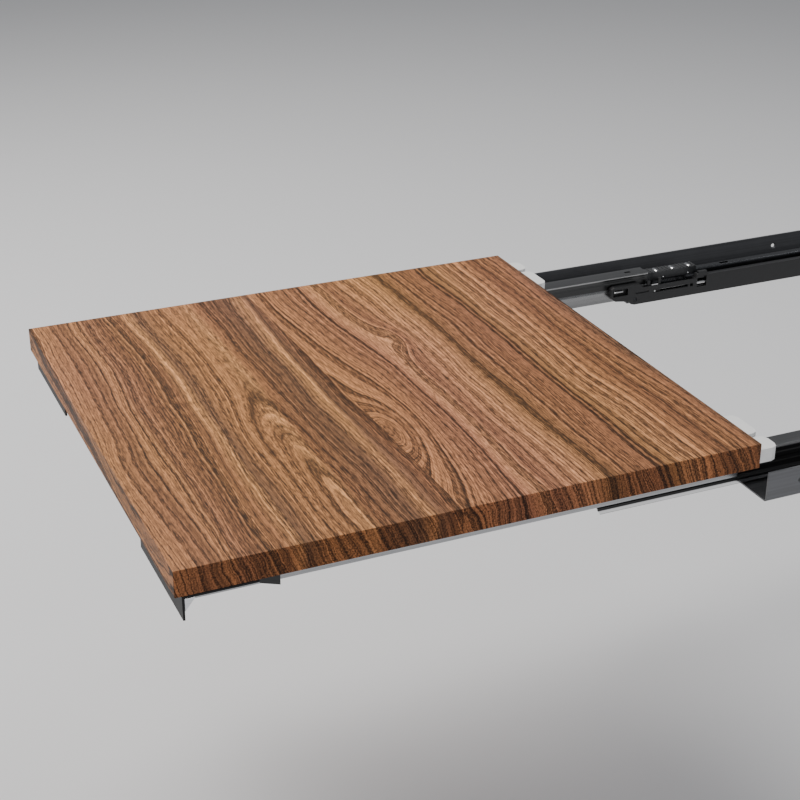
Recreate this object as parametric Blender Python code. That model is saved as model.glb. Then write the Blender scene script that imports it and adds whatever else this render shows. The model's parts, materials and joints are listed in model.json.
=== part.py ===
"""Pull-out worktop board on a left and right pair of full-extension, soft-closing drawer slides.

Frame: metres, +Z up, +Y into the cabinet, -Y the way the board pulls out. The origin is the middle
of the board's top face, with the board pulled fully out. The left slide is at -X.

Each slide is three nested rails. A box-shaped running rail stands on a mounting angle that screws to
the cabinet wall. The intermediate rail straddles it on a roller cage, and the drawer rail under the
board straddles the intermediate rail on a ball cage. A soft-close unit hangs on the mounting angle.

Cross-sections are drawn as (in, z): "in" is the distance from the cabinet wall towards its middle.
Lengthwise places are the distance behind the board's front edge, with the board pulled fully out.
"""

import math

import bmesh
import bpy
from mathutils import Matrix, Vector

MM = 0.001

# Driving dimensions.
BOARD_WIDTH = 540 * MM
BOARD_DEPTH = 560 * MM
BOARD_THICKNESS = 25 * MM
BOARD_EDGE_ROUND = 0.6 * MM
SIDE_GAP = 2 * MM  # between the board's side and the cabinet wall
TRAVEL = 550 * MM
RAIL_LENGTH = 550 * MM  # of the running rail and of the drawer rail
RAIL_SETBACK = 10 * MM  # from the board's front edge, or the cabinet's front, to a rail's front end
INTERMEDIATE_LENGTH = 325 * MM
OUTER_CAGE_LENGTH = 200 * MM
INNER_CAGE_LENGTH = 165 * MM
INTERMEDIATE_SHIFT = 7.5 * MM  # its middle, behind the middle of the two rails' overlap
OUTER_CAGE_REACH = 71 * MM  # behind the intermediate rail's rear end
INNER_CAGE_REACH = 30 * MM  # ahead of the intermediate rail's front end

# Rail cross-sections.
RAIL_CENTRE = 49 * MM  # from the cabinet wall
RUNNING_WIDTH = 11 * MM
SHEET = 1.5 * MM
ANGLE_SHEET = 1.8 * MM
BALL_GAP = 3 * MM  # between one rail's flange and the next
ROLLER_SPACE = 6.2 * MM  # between the running rail's top and the intermediate rail's roof
ROOF_GAP = 1.7 * MM  # between the intermediate rail's roof and the drawer rail's
INTERMEDIATE_HEIGHT = 30 * MM
DRAWER_FLANGE_WALL_SIDE = 24.5 * MM
DRAWER_FLANGE_INNER_SIDE = 11.2 * MM
WALL_FLANGE_HEIGHT = 31.3 * MM
SHELF_GAP = 2.5 * MM  # under the intermediate rail's flanges
WALL_SIDE_FLARE = 3.2 * MM
INNER_SIDE_FLARE = 1.2 * MM
WALL_SIDE_FLARE_HEIGHT = 5.5 * MM
INNER_SIDE_FLARE_HEIGHT = 13.5 * MM
RACE_DEPTH = 0.6 * MM
RACE_FLAT = 1.9 * MM  # half the height of a ball race's bottom
RACE_MOUTH = 3 * MM  # half its height at the flange's face
FLARE_SLOPE = 1.6 * MM  # the height over which a foot flares
SLANT_LENGTH = 6 * MM  # of the intermediate rail's cut front corner
SLANT_HEIGHT = 11 * MM
BEND_RADIUS = 1.2 * MM  # at the middle of the sheet
ANGLE_BEND_RADIUS = 2.4 * MM

# Clearances.
TOUCH = 0.3 * MM  # between pieces that rest on each other
ROLL_SLACK = 0.2 * MM  # round each ball and roller
SLIDE_SLACK = 0.4 * MM

# Cutters and joins.
PAST = 5 * MM  # how far a cutter runs past the face that it cuts
INSET = 0.05 * MM  # how far a joined shape is drawn in, so that no two faces coincide

# Cages.
CAGE_WALL = 1.2 * MM
CAGE_PLATE = 3.2 * MM
OUTER_BALL_DROP = 2.6 * MM  # from the running rail's top to its ball row
SKIRT_BELOW_BALLS = 1.9 * MM
STRIP_BELOW_BALLS = 2.5 * MM
ROLLER_END_GAP = 0.7 * MM  # from a roller's end to the running rail's side
ROLLER_COUNT = 9
BALLS_PER_ROW = 6
UPPER_ROW_DROP = 5 * MM  # from the intermediate rail's roof to the inner cage's upper ball row
LOWER_ROW_DROP = 4.2 * MM  # from the outer cage's ball row to the inner cage's lower one
CAGE_END = 8 * MM

# Front brackets and release levers.
BRACKET_SHEET = 2 * MM
BRACKET_SETBACK = 6 * MM
BRACKET_WIDTH = 128 * MM
BRACKET_DROP = 22.5 * MM
OUTER_FOOT_WIDTH = 28 * MM
OUTER_FOOT_LENGTH = 66 * MM
INNER_FOOT_WIDTH = 52 * MM
INNER_FOOT_LENGTH = 38 * MM
BRACE_SHEET = 1.5 * MM
BRACE_LENGTH = 9.5 * MM
BRACE_DROP = 12 * MM
LEVER_SHEET = 1.2 * MM
LEVER_WIDTH = 9 * MM
LEVER_PIVOT_SETBACK = 38 * MM
LEVER_END_SETBACK = 91 * MM
GRIP_LENGTH = 18 * MM
GRIP_DROP = 7 * MM
GRIP_WALL = 1.2 * MM
LEVER_HOOK_SETBACK = 22.5 * MM
LEVER_HOOK_WIDTH = 6 * MM
LEVER_HOOK_REACH = 1.2 * MM  # into the drawer rail's notch
LEVER_NOTCH_SLACK = 1.5 * MM  # at each side of the hook
PIVOT_RADIUS = 2 * MM
PIVOT_HEAD_RADIUS = 3.4 * MM
PIVOT_HEAD = 1.2 * MM

# Soft-close unit.
UNIT_PLACE = 110 * MM  # its nose, behind the mounting angle's front end
UNIT_LENGTH = 318 * MM
UNIT_FOOT = 1 * MM  # below the mounting angle's shelf
UNIT_THICKNESS = 7.2 * MM
UNIT_FACE = 1.5 * MM
UNIT_NOSE = 25 * MM  # ahead of the mounting angle's shelf
UNIT_CLEARANCE = 0.7 * MM  # from the intermediate rail's flare
UNIT_SEAT = 0.4 * UNIT_THICKNESS  # how deep the mounting angle's shelf sits in the unit

# Heights in the soft-close unit, measured down from the drawer rail's inner flange.
NOSE_DROP = 1.3 * MM
COVER_DROP = 3.5 * MM
LOW_DROP = 6.5 * MM
SHOE_DROP = 7 * MM
PIN_DROP = 14 * MM
CATCH_TRAVEL = 45 * MM
CATCH_PLACE = 61 * MM  # its guide pin, when armed, behind the unit's nose
CYLINDER_RADIUS = 2.5 * MM
ROD_RADIUS = 1 * MM
SPRING_RADIUS = 1.6 * MM
PIN_RADIUS = 1.3 * MM
STRIKER_LENGTH = 10 * MM
STRIKER_WIDTH = 5 * MM
CATCH_OVERLAP = 1.8 * MM  # of the catch's prong behind the striker
CATCH_UNDERLAP = 0.6 * MM  # between the striker and the catch's low front prong
CATCH_AHEAD = 10 * MM  # of the shoe, ahead of its guide pin
CATCH_BEHIND = 9 * MM
PRONG_FRONT = 3.9 * MM
PRONG_REAR = 3.6 * MM
SLOT_SLACK = 0.7 * MM
ROD_GRIP = 5 * MM  # the damper rod's end, behind the guide pin
CYLINDER_GAP = 14 * MM  # from the guide pin's last place to the damper cylinder

# Screws.
SCREW_RADIUS = 2 * MM
SCREW_HEAD_RADIUS = 4 * MM
SCREW_HEAD = 2 * MM
SCREW_LENGTH = 14 * MM
HOUSING_SCREW_RADIUS = 2 * MM
HOUSING_SCREW_SINK = 1.4 * MM
HOLE_SLACK = 0.3 * MM
LUG_LENGTH = 22 * MM
LUG_REACH = 17 * MM
FRONT_LUG_PLACE = 50 * MM  # behind the drawer rail's front end
REAR_LUG_PLACE = 60 * MM  # ahead of its rear end
WALL_HOLE_RADIUS = 2.3 * MM
FRONT_HOLE_PLACE = 37 * MM  # behind the mounting angle's front end
REAR_HOLE_PLACES = (161 * MM, 33 * MM)  # ahead of its rear end

# Rear clips.
CLIP_LENGTH = 24 * MM
CLIP_PADS = ((8 * MM, 33 * MM), (40 * MM, 82 * MM))  # from the cabinet wall
CLIP_TOP_DROP = 10 * MM
CLIP_HEIGHT = 14 * MM
CLIP_WEB = 5 * MM
CLIP_CORNER = 7 * MM

SIDES = (("left", -1), ("right", 1))

# Heights that the pieces share.
UNDERSIDE = -BOARD_THICKNESS
DRAWER_ROOF = UNDERSIDE - TOUCH
INTERMEDIATE_ROOF = DRAWER_ROOF - SHEET - ROOF_GAP
RUNNING_TOP = INTERMEDIATE_ROOF - SHEET - ROLLER_SPACE
INTERMEDIATE_FOOT = INTERMEDIATE_ROOF - INTERMEDIATE_HEIGHT
OUTER_ROW_DROP = SHEET + ROLLER_SPACE + OUTER_BALL_DROP
BALL_ROW_DROPS = (UPPER_ROW_DROP, OUTER_ROW_DROP + LOWER_ROW_DROP)
SHELF_TOP = INTERMEDIATE_FOOT - SHELF_GAP
SHELF_BOTTOM = SHELF_TOP - ANGLE_SHEET
WALL_FLANGE_TOP = SHELF_BOTTOM + WALL_FLANGE_HEIGHT

# Widths that the pieces share, measured from the rails' centre line.
RUNNING_HALF = RUNNING_WIDTH / 2
INTERMEDIATE_HALF = RUNNING_HALF + BALL_GAP + SHEET
DRAWER_HALF = INTERMEDIATE_HALF + BALL_GAP + SHEET

# Lengthwise places that the pieces share, behind the board's front edge.
CABINET_FRONT = BOARD_DEPTH
ANGLE_FRONT = CABINET_FRONT + RAIL_SETBACK
RAIL_OVERLAP = (RAIL_SETBACK + RAIL_LENGTH + ANGLE_FRONT) / 2
LUG_SETBACKS = (RAIL_SETBACK + FRONT_LUG_PLACE, RAIL_SETBACK + RAIL_LENGTH - REAR_LUG_PLACE)
INTERMEDIATE_FRONT = RAIL_OVERLAP - INTERMEDIATE_LENGTH / 2 + INTERMEDIATE_SHIFT
INTERMEDIATE_REAR = INTERMEDIATE_FRONT + INTERMEDIATE_LENGTH
OUTER_CAGE_REAR = INTERMEDIATE_REAR + OUTER_CAGE_REACH
INNER_CAGE_FRONT = INTERMEDIATE_FRONT - INNER_CAGE_REACH
UNIT_SETBACK = ANGLE_FRONT + UNIT_PLACE
CATCH_SETBACK = UNIT_SETBACK + CATCH_PLACE
UNIT_INNER = RAIL_CENTRE + INTERMEDIATE_HALF + INNER_SIDE_FLARE + UNIT_CLEARANCE
UNIT_OUTER = UNIT_INNER + UNIT_THICKNESS
STRIKER_SETBACK = CATCH_SETBACK + CATCH_TRAVEL - TRAVEL
STRIKER_BOTTOM = DRAWER_ROOF - DRAWER_FLANGE_INNER_SIDE


def clear_scene():
    for obj in list(bpy.data.objects):
        bpy.data.objects.remove(obj, do_unlink=True)


def finish(name, colour, roughness, metallic):
    material = bpy.data.materials.new(name)
    material.use_nodes = True
    shader = material.node_tree.nodes["Principled BSDF"]
    shader.inputs["Base Color"].default_value = (*colour, 1)
    shader.inputs["Roughness"].default_value = roughness
    shader.inputs["Metallic"].default_value = metallic
    return material


def across(side, inward):
    """The X of a point that lies this far from the cabinet wall on the given side."""
    return side * (BOARD_WIDTH / 2 + SIDE_GAP - inward)


def along(setback):
    """The Y of a point this far behind the board's front edge."""
    return setback - BOARD_DEPTH / 2


def in_section(side, outline):
    return [(across(side, inward), z) for inward, z in outline]


def prism(outline, plane, low, high):
    """A bmesh of the outline, drawn in the named plane, reaching from low to high along the third axis."""
    place = {
        "XZ": lambda a, b: (a, low, b),
        "YZ": lambda a, b: (low, a, b),
        "XY": lambda a, b: (a, b, low),
    }[plane]
    step = {"XZ": (0, high - low, 0), "YZ": (high - low, 0, 0), "XY": (0, 0, high - low)}[plane]
    shape = bmesh.new()
    face = shape.faces.new([shape.verts.new(place(a, b)) for a, b in outline])
    grown = bmesh.ops.extrude_face_region(shape, geom=[face])["geom"]
    moved = [item for item in grown if isinstance(item, bmesh.types.BMVert)]
    bmesh.ops.translate(shape, verts=moved, vec=step)
    bmesh.ops.recalc_face_normals(shape, faces=shape.faces)
    return shape


def block(x, y, z):
    """A box between two limits along each axis, given in either order."""
    outline = [(x[0], z[0]), (x[1], z[0]), (x[1], z[1]), (x[0], z[1])]
    return prism(outline, "XZ", min(y), max(y))


def rod(start, end, radius, sides=16, end_radius=None):
    """A straight round bar, or a cone if it ends in another radius."""
    start, end = Vector(start), Vector(end)
    turn = (end - start).to_track_quat("Z", "Y").to_matrix().to_4x4()
    shape = bmesh.new()
    bmesh.ops.create_cone(
        shape,
        cap_ends=True,
        segments=sides,
        radius1=radius,
        radius2=radius if end_radius is None else end_radius,
        depth=(end - start).length,
        matrix=Matrix.Translation((start + end) / 2) @ turn,
    )
    return shape


def ball(centre, radius):
    shape = bmesh.new()
    bmesh.ops.create_uvsphere(
        shape, u_segments=8, v_segments=5, radius=radius, matrix=Matrix.Translation(centre)
    )
    return shape


def gather(shapes):
    """Several closed shapes in one bmesh, for a single Boolean."""
    whole = bmesh.new()
    for shape in shapes:
        mesh = bpy.data.meshes.new("gathered")
        shape.to_mesh(mesh)
        shape.free()
        whole.from_mesh(mesh)
        bpy.data.meshes.remove(mesh)
    return whole


def rounded(path, radius, steps=3):
    """The path with each inner corner turned into an arc, as far as the two runs beside it allow."""
    points = [Vector(path[0])]
    for before, corner, after in zip(path, path[1:], path[2:]):
        before, corner, after = Vector(before), Vector(corner), Vector(after)
        back, ahead = (before - corner).normalized(), (after - corner).normalized()
        half = back.angle(ahead) / 2
        shorter = min((before - corner).length, (after - corner).length)
        reach = min(radius / math.tan(half), shorter * 0.45)
        centre = corner + (back + ahead).normalized() * (reach / math.cos(half))
        start, end = corner + back * reach - centre, corner + ahead * reach - centre
        sweep = start.angle_signed(end)
        for step in range(steps + 1):
            turn = Matrix.Rotation(-sweep * step / steps, 2)
            points.append(centre + turn @ start)
    points.append(Vector(path[-1]))
    return points


def sheet_outline(path, thickness, radius):
    """The closed outline of a bent sheet whose middle follows the path."""
    line = rounded(path, radius)
    left, right = [], []
    for index, point in enumerate(line):
        ahead = line[min(index + 1, len(line) - 1)] - point
        back = point - line[max(index - 1, 0)]
        direction = (ahead.normalized() + back.normalized()).normalized()
        normal = Vector((-direction.y, direction.x)) * (thickness / 2)
        left.append(point + normal)
        right.append(point - normal)
    return [tuple(point) for point in left + right[::-1]]


def piece(name, shape, material, carrier=None, pivot=(0, 0, 0), bevel=0):
    """A named part from a bmesh in world coordinates, with its origin at the pivot."""
    mesh = bpy.data.meshes.new(name)
    bmesh.ops.translate(shape, verts=shape.verts, vec=-Vector(pivot))
    shape.to_mesh(mesh)
    shape.free()
    mesh.materials.append(material)
    mesh.shade_smooth()
    mesh.set_sharp_from_angle(angle=math.radians(32))
    obj = bpy.data.objects.new(name, mesh)
    bpy.context.scene.collection.objects.link(obj)
    obj.location = pivot
    if carrier is not None:
        obj.parent = carrier
        obj.location = Vector(pivot) - carrier.location
    if bevel:
        rounding = obj.modifiers.new("edge rounding", "BEVEL")
        rounding.width = bevel
        rounding.segments = 2
        rounding.limit_method = "ANGLE"
    return obj


def boolean(target, shapes, operation):
    """Cuts the gathered shapes from the target, or joins them to it."""
    helper = piece(f"{target.name}_{operation.lower()}", gather(shapes), target.data.materials[0])
    helper.hide_render = True
    helper.display_type = "WIRE"
    change = target.modifiers.new(operation.lower(), "BOOLEAN")
    change.operation = operation
    change.solver = "EXACT"
    change.object = helper


def carrier(name, place):
    """An empty on a joint's axis, which the joint's pieces ride on."""
    empty = bpy.data.objects.new(name, None)
    empty.location = place
    empty.empty_display_size = 0.02
    bpy.context.scene.collection.objects.link(empty)
    return empty


def screw_shapes(head_seat, direction, length, radius=SCREW_RADIUS, head_radius=SCREW_HEAD_RADIUS):
    """A domed head outside its seat, with a shank that runs on from it in the given direction."""
    seat, direction = Vector(head_seat), Vector(direction)
    head = rod(seat, seat - direction * SCREW_HEAD, head_radius, 16, head_radius * 0.7)
    shank = rod(seat - direction * SCREW_HEAD / 2, seat + direction * length, radius, 12)
    return head, shank


def screw(name, head_seat, direction, length, material, ride_on=None, head_radius=SCREW_HEAD_RADIUS):
    head, shank = screw_shapes(head_seat, direction, length, SCREW_RADIUS, head_radius)
    made = piece(name, head, material, ride_on)
    boolean(made, [shank], "UNION")
    return made


def screw_places(side):
    """Where each screw enters the board from below: its name and its (in, setback)."""
    places = {}
    for end, setback in zip(("front", "rear"), LUG_SETBACKS):
        places[f"rail_screw_{end}"] = (RAIL_CENTRE + DRAWER_HALF + LUG_REACH * 0.55, setback)
    outer = SIDE_GAP + OUTER_FOOT_WIDTH - SCREW_HEAD_RADIUS - 1 * MM
    inner = SIDE_GAP + BRACKET_WIDTH - INNER_FOOT_WIDTH / 2
    places["bracket_screw_outer"] = (outer, BRACKET_SETBACK + 50 * MM)
    places["bracket_screw_inner"] = (inner, BRACKET_SETBACK + 24 * MM)
    return places


def worktop_board(material, ride_on):
    half = BOARD_WIDTH / 2
    shape = block((-half, half), (along(0), along(BOARD_DEPTH)), (UNDERSIDE, 0))
    board = piece("worktop_board", shape, material, ride_on, bevel=BOARD_EDGE_ROUND)
    holes = []
    for _, side in SIDES:
        for inward, setback in screw_places(side).values():
            x, y = across(side, inward), along(setback)
            top = UNDERSIDE + SCREW_LENGTH
            holes.append(rod((x, y, UNDERSIDE - PAST), (x, y, top), SCREW_RADIUS + HOLE_SLACK, 12))
        x, z = across(side, clip_screw_inward()), clip_screw_height()
        front = along(BOARD_DEPTH - SCREW_LENGTH)
        rear = along(BOARD_DEPTH + PAST)
        holes.append(rod((x, front, z), (x, rear, z), SCREW_RADIUS + HOLE_SLACK, 12))
    boolean(board, holes, "DIFFERENCE")


def clip_screw_inward():
    return (CLIP_PADS[0][1] + CLIP_PADS[1][0]) / 2


def clip_screw_height():
    return -CLIP_TOP_DROP - CLIP_HEIGHT / 2


def mounting_angle(label, side, material):
    """The sheet angle that screws to the cabinet wall and carries the running rail on its shelf."""
    middle = ANGLE_SHEET / 2
    reach = UNIT_INNER + UNIT_SEAT
    path = [(middle, WALL_FLANGE_TOP), (middle, SHELF_TOP - middle), (reach, SHELF_TOP - middle)]
    outline = in_section(side, sheet_outline(path, ANGLE_SHEET, ANGLE_BEND_RADIUS))
    shape = prism(outline, "XZ", along(ANGLE_FRONT), along(ANGLE_FRONT + RAIL_LENGTH))
    angle = piece(f"mounting_angle_{label}", shape, material)
    notch = block(
        (across(side, RAIL_CENTRE - RUNNING_HALF + SHEET), across(side, reach + PAST)),
        (along(ANGLE_FRONT - PAST), along(UNIT_SETBACK + UNIT_NOSE)),
        (SHELF_TOP + PAST, SHELF_BOTTOM - PAST),
    )
    z = (WALL_FLANGE_TOP + SHELF_TOP) / 2
    holes = [
        rod(
            (across(side, -PAST), along(ANGLE_FRONT + place), z),
            (across(side, PAST), along(ANGLE_FRONT + place), z),
            WALL_HOLE_RADIUS,
            14,
        )
        for place in (FRONT_HOLE_PLACE, *(RAIL_LENGTH - place for place in REAR_HOLE_PLACES))
    ]
    boolean(angle, [notch, *holes], "DIFFERENCE")


def running_rail(label, side, material):
    """The box rail that the intermediate rail straddles."""
    low, high = SHELF_TOP + TOUCH, RUNNING_TOP
    left, right = RAIL_CENTRE - RUNNING_HALF, RAIL_CENTRE + RUNNING_HALF
    corners = [(left, low), (right, low), (right, high), (left, high)]
    middle = [(left, (low + high) / 2), *corners, (left, (low + high) / 2)]
    outline = [tuple(point) for point in rounded(middle, BEND_RADIUS)[:-1]]
    rear = ANGLE_FRONT + RAIL_LENGTH - RAIL_SETBACK
    shape = prism(in_section(side, outline), "XZ", along(ANGLE_FRONT), along(rear))
    rail = piece(f"running_rail_{label}", shape, material)
    bore = block(
        (across(side, left + SHEET), across(side, right - SHEET)),
        (along(ANGLE_FRONT - PAST), along(rear + PAST)),
        (low + SHEET, high - SHEET),
    )
    boolean(rail, [bore], "DIFFERENCE")


def rail_end_stop(label, side, material):
    """The buffer plugged into the running rail's rear end, which the drawer rail meets when shut."""
    rear = ANGLE_FRONT + RAIL_LENGTH
    start = rear - RAIL_SETBACK + TOUCH
    face = block(
        (across(side, RAIL_CENTRE - INTERMEDIATE_HALF), across(side, RAIL_CENTRE + INTERMEDIATE_HALF)),
        (along(start), along(rear)),
        (SHELF_TOP + TOUCH, INTERMEDIATE_ROOF),
    )
    stop = piece(f"rail_end_stop_{label}", face, material)
    half = RUNNING_HALF - SHEET - TOUCH
    plug = block(
        (across(side, RAIL_CENTRE - half), across(side, RAIL_CENTRE + half)),
        (along(start - 15 * MM), along(start + 2 * MM)),
        (SHELF_TOP + SHEET + 2 * TOUCH, RUNNING_TOP - SHEET - TOUCH),
    )
    boolean(stop, [plug], "UNION")


def race(inward, z, depth):
    """The path of a ball race pressed into a flange, from its upper end to its lower one."""
    return [
        (inward, z + RACE_MOUTH),
        (inward + depth, z + RACE_FLAT),
        (inward + depth, z - RACE_FLAT),
        (inward, z - RACE_MOUTH),
    ]


def intermediate_rail(label, side, material, ride_on):
    """The roofed rail between the other two, with flared feet and ball races in its flanges."""
    half = INTERMEDIATE_HALF - SHEET / 2
    roof = INTERMEDIATE_ROOF - SHEET / 2
    foot = INTERMEDIATE_FOOT
    outer, inner = RAIL_CENTRE - half, RAIL_CENTRE + half
    shoulder = foot + WALL_SIDE_FLARE_HEIGHT
    outer_side = [(outer, roof)]
    for drop in BALL_ROW_DROPS:
        outer_side += race(outer, INTERMEDIATE_ROOF - drop, RACE_DEPTH)
    outer_side += [
        (outer, shoulder + FLARE_SLOPE),
        (outer - WALL_SIDE_FLARE, shoulder),
        (outer - WALL_SIDE_FLARE, foot),
    ]
    inner_shoulder = foot + INNER_SIDE_FLARE_HEIGHT
    inner_side = [(inner, roof), *race(inner, INTERMEDIATE_ROOF - BALL_ROW_DROPS[0], -RACE_DEPTH)]
    inner_side += [
        (inner, inner_shoulder + FLARE_SLOPE),
        (inner + INNER_SIDE_FLARE, inner_shoulder),
        (inner + INNER_SIDE_FLARE, foot),
    ]
    outline = in_section(side, sheet_outline(outer_side[::-1] + inner_side, SHEET, BEND_RADIUS))
    shape = prism(outline, "XZ", along(INTERMEDIATE_FRONT), along(INTERMEDIATE_REAR))
    rail = piece(f"intermediate_rail_{label}", shape, material, ride_on)
    corner = [
        (along(INTERMEDIATE_FRONT - PAST), foot + SLANT_HEIGHT),
        (along(INTERMEDIATE_FRONT + SLANT_LENGTH), foot - PAST),
        (along(INTERMEDIATE_FRONT - PAST), foot - PAST),
    ]
    wide = (across(side, RAIL_CENTRE - DRAWER_HALF), across(side, RAIL_CENTRE + DRAWER_HALF))
    boolean(rail, [prism(corner, "YZ", min(wide), max(wide))], "DIFFERENCE")


def drawer_rail(label, side, material, ride_on):
    """The rail under the board, with screw lugs on its inner side and a notch for the lever's hook."""
    half = DRAWER_HALF - SHEET / 2
    roof = DRAWER_ROOF - SHEET / 2
    path = [
        (RAIL_CENTRE - half, DRAWER_ROOF - DRAWER_FLANGE_WALL_SIDE),
        (RAIL_CENTRE - half, roof),
        (RAIL_CENTRE + half, roof),
        (RAIL_CENTRE + half, DRAWER_ROOF - DRAWER_FLANGE_INNER_SIDE),
    ]
    outline = in_section(side, sheet_outline(path, SHEET, BEND_RADIUS))
    ends = along(RAIL_SETBACK), along(RAIL_SETBACK + RAIL_LENGTH)
    rail = piece(f"drawer_rail_{label}", prism(outline, "XZ", *ends), material, ride_on)
    lugs = [
        block(
            (across(side, RAIL_CENTRE), across(side, RAIL_CENTRE + DRAWER_HALF + LUG_REACH)),
            (along(setback - LUG_LENGTH / 2), along(setback + LUG_LENGTH / 2)),
            (DRAWER_ROOF - 2 * INSET, DRAWER_ROOF - SHEET + 2 * INSET),
        )
        for setback in LUG_SETBACKS
    ]
    boolean(rail, lugs, "UNION")
    cuts = [lever_notch(side)]
    for end in ("front", "rear"):
        inward, setback = screw_places(side)[f"rail_screw_{end}"]
        x, y = across(side, inward), along(setback)
        low, high = DRAWER_ROOF - PAST, DRAWER_ROOF + PAST
        cuts.append(rod((x, y, low), (x, y, high), SCREW_RADIUS + HOLE_SLACK, 12))
    boolean(rail, cuts, "DIFFERENCE")


def lever_level():
    """The top and bottom of the release lever's flat plate, under the bracket's foot."""
    top = UNDERSIDE - 2 * TOUCH - BRACKET_SHEET
    return top, top - LEVER_SHEET


def lever_notch(side):
    top, bottom = lever_level()
    flange = RAIL_CENTRE - DRAWER_HALF
    half = LEVER_HOOK_WIDTH / 2 + LEVER_NOTCH_SLACK
    return block(
        (across(side, flange - PAST), across(side, flange + LEVER_HOOK_REACH + SHEET + SLIDE_SLACK)),
        (along(LEVER_HOOK_SETBACK - half), along(LEVER_HOOK_SETBACK + half)),
        (bottom - LEVER_SHEET, top + SLIDE_SLACK),
    )


def front_bracket(label, side, material, ride_on):
    """The angled plate under the board's front corner: an upright face and two feet."""
    top = UNDERSIDE - TOUCH
    front = BRACKET_SETBACK
    outer, inner = SIDE_GAP, SIDE_GAP + BRACKET_WIDTH
    face = block(
        (across(side, outer), across(side, inner)),
        (along(front), along(front + BRACKET_SHEET)),
        (top - BRACKET_DROP, top),
    )
    bracket = piece(f"front_bracket_{label}", face, material, ride_on)
    feet = [
        block(
            (across(side, outer), across(side, outer + OUTER_FOOT_WIDTH)),
            (along(front), along(front + OUTER_FOOT_LENGTH)),
            (top - BRACKET_SHEET, top),
        ),
        block(
            (across(side, inner - INNER_FOOT_WIDTH), across(side, inner)),
            (along(front), along(front + INNER_FOOT_LENGTH)),
            (top - BRACKET_SHEET, top),
        ),
    ]
    boolean(bracket, feet, "UNION")
    holes = []
    for name in ("bracket_screw_outer", "bracket_screw_inner"):
        inward, setback = screw_places(side)[name]
        x, y = across(side, inward), along(setback)
        holes.append(rod((x, y, top - PAST), (x, y, top + PAST), SCREW_RADIUS + HOLE_SLACK, 12))
    x, y, _ = lever_pivot(side)
    holes.append(rod((x, y, top - PAST), (x, y, top + PAST), PIVOT_RADIUS + HOLE_SLACK, 16))
    boolean(bracket, holes, "DIFFERENCE")


def corner_brace(label, side, material, ride_on):
    """The bright triangular brace in the bracket's corner."""
    front = BRACKET_SETBACK + BRACKET_SHEET + TOUCH
    top = UNDERSIDE - 2 * TOUCH - BRACKET_SHEET
    outline = [
        (along(front), top),
        (along(front + BRACE_LENGTH), top),
        (along(front), top - BRACE_DROP),
    ]
    faces = across(side, SIDE_GAP + TOUCH), across(side, SIDE_GAP + TOUCH + BRACE_SHEET)
    piece(f"corner_brace_{label}", prism(outline, "YZ", min(faces), max(faces)), material, ride_on)


def lever_pivot(side):
    inward = SIDE_GAP + 4 * TOUCH + BRACE_SHEET + LEVER_WIDTH / 2
    return Vector((across(side, inward), along(LEVER_PIVOT_SETBACK), UNDERSIDE))


def release_lever(label, side, material, ride_on):
    """The flat lever whose hook holds the drawer rail: its grip is pressed inwards to free it."""
    top, bottom = lever_level()
    pivot = lever_pivot(side)
    half = LEVER_WIDTH / 2
    tail = half - GRIP_WALL - TOUCH
    hook = along(LEVER_HOOK_SETBACK)
    start = hook - LEVER_HOOK_WIDTH / 2
    neck = along(LEVER_END_SETBACK - GRIP_LENGTH - 2 * TOUCH)
    end = along(LEVER_END_SETBACK - GRIP_WALL - TOUCH)
    plan = [(half, start), (half, neck), (tail, neck), (tail, end)]
    plan += [(-tail, end), (-tail, neck), (-half, neck), (-half, start)]
    arm = prism([(pivot.x + x, y) for x, y in plan], "XY", bottom, top)
    lever = piece(f"release_lever_{label}", arm, material, ride_on, pivot)
    hook_tip = across(side, RAIL_CENTRE - DRAWER_HALF + LEVER_HOOK_REACH)
    hook_arm = block(
        (pivot.x, hook_tip),
        (start + INSET, start + LEVER_HOOK_WIDTH),
        (bottom + INSET, top - INSET),
    )
    boolean(lever, [hook_arm], "UNION")
    rise = Vector((0, 0, 2 * PAST))
    hole = rod(pivot - rise, pivot + rise, PIVOT_RADIUS + HOLE_SLACK, 16)
    boolean(lever, [hole], "DIFFERENCE")


def lever_grip(label, side, material, ride_on):
    """The wedge-shaped plastic grip that is pushed over the lever's tail."""
    top, bottom = lever_level()
    pivot = lever_pivot(side)
    half = LEVER_WIDTH / 2
    front, end = along(LEVER_END_SETBACK - GRIP_LENGTH), along(LEVER_END_SETBACK)
    seat = bottom - TOUCH
    outline = [
        (front, UNDERSIDE - TOUCH),
        (end, UNDERSIDE - TOUCH),
        (end, seat - GRIP_DROP),
        (front, seat - GRIP_WALL),
    ]
    wedge = prism(outline, "YZ", pivot.x - half, pivot.x + half)
    grip = piece(f"lever_grip_{label}", wedge, material, ride_on, pivot)
    pocket = block(
        (pivot.x - half + GRIP_WALL, pivot.x + half - GRIP_WALL),
        (front - PAST, end - GRIP_WALL),
        (seat, top + TOUCH),
    )
    boolean(grip, [pocket], "DIFFERENCE")


def lever_rivet(label, side, material, ride_on):
    _, bottom = lever_level()
    pivot = lever_pivot(side)
    seat = Vector((pivot.x, pivot.y, bottom - TOUCH))
    drop = Vector((0, 0, PIVOT_HEAD))
    head = rod(seat, seat - drop, PIVOT_HEAD_RADIUS, 20, PIVOT_HEAD_RADIUS * 0.8)
    rivet = piece(f"lever_rivet_{label}", head, material, ride_on)
    top = Vector((pivot.x, pivot.y, UNDERSIDE - TOUCH))
    boolean(rivet, [rod(seat - drop / 2, top, PIVOT_RADIUS, 16)], "UNION")


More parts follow.
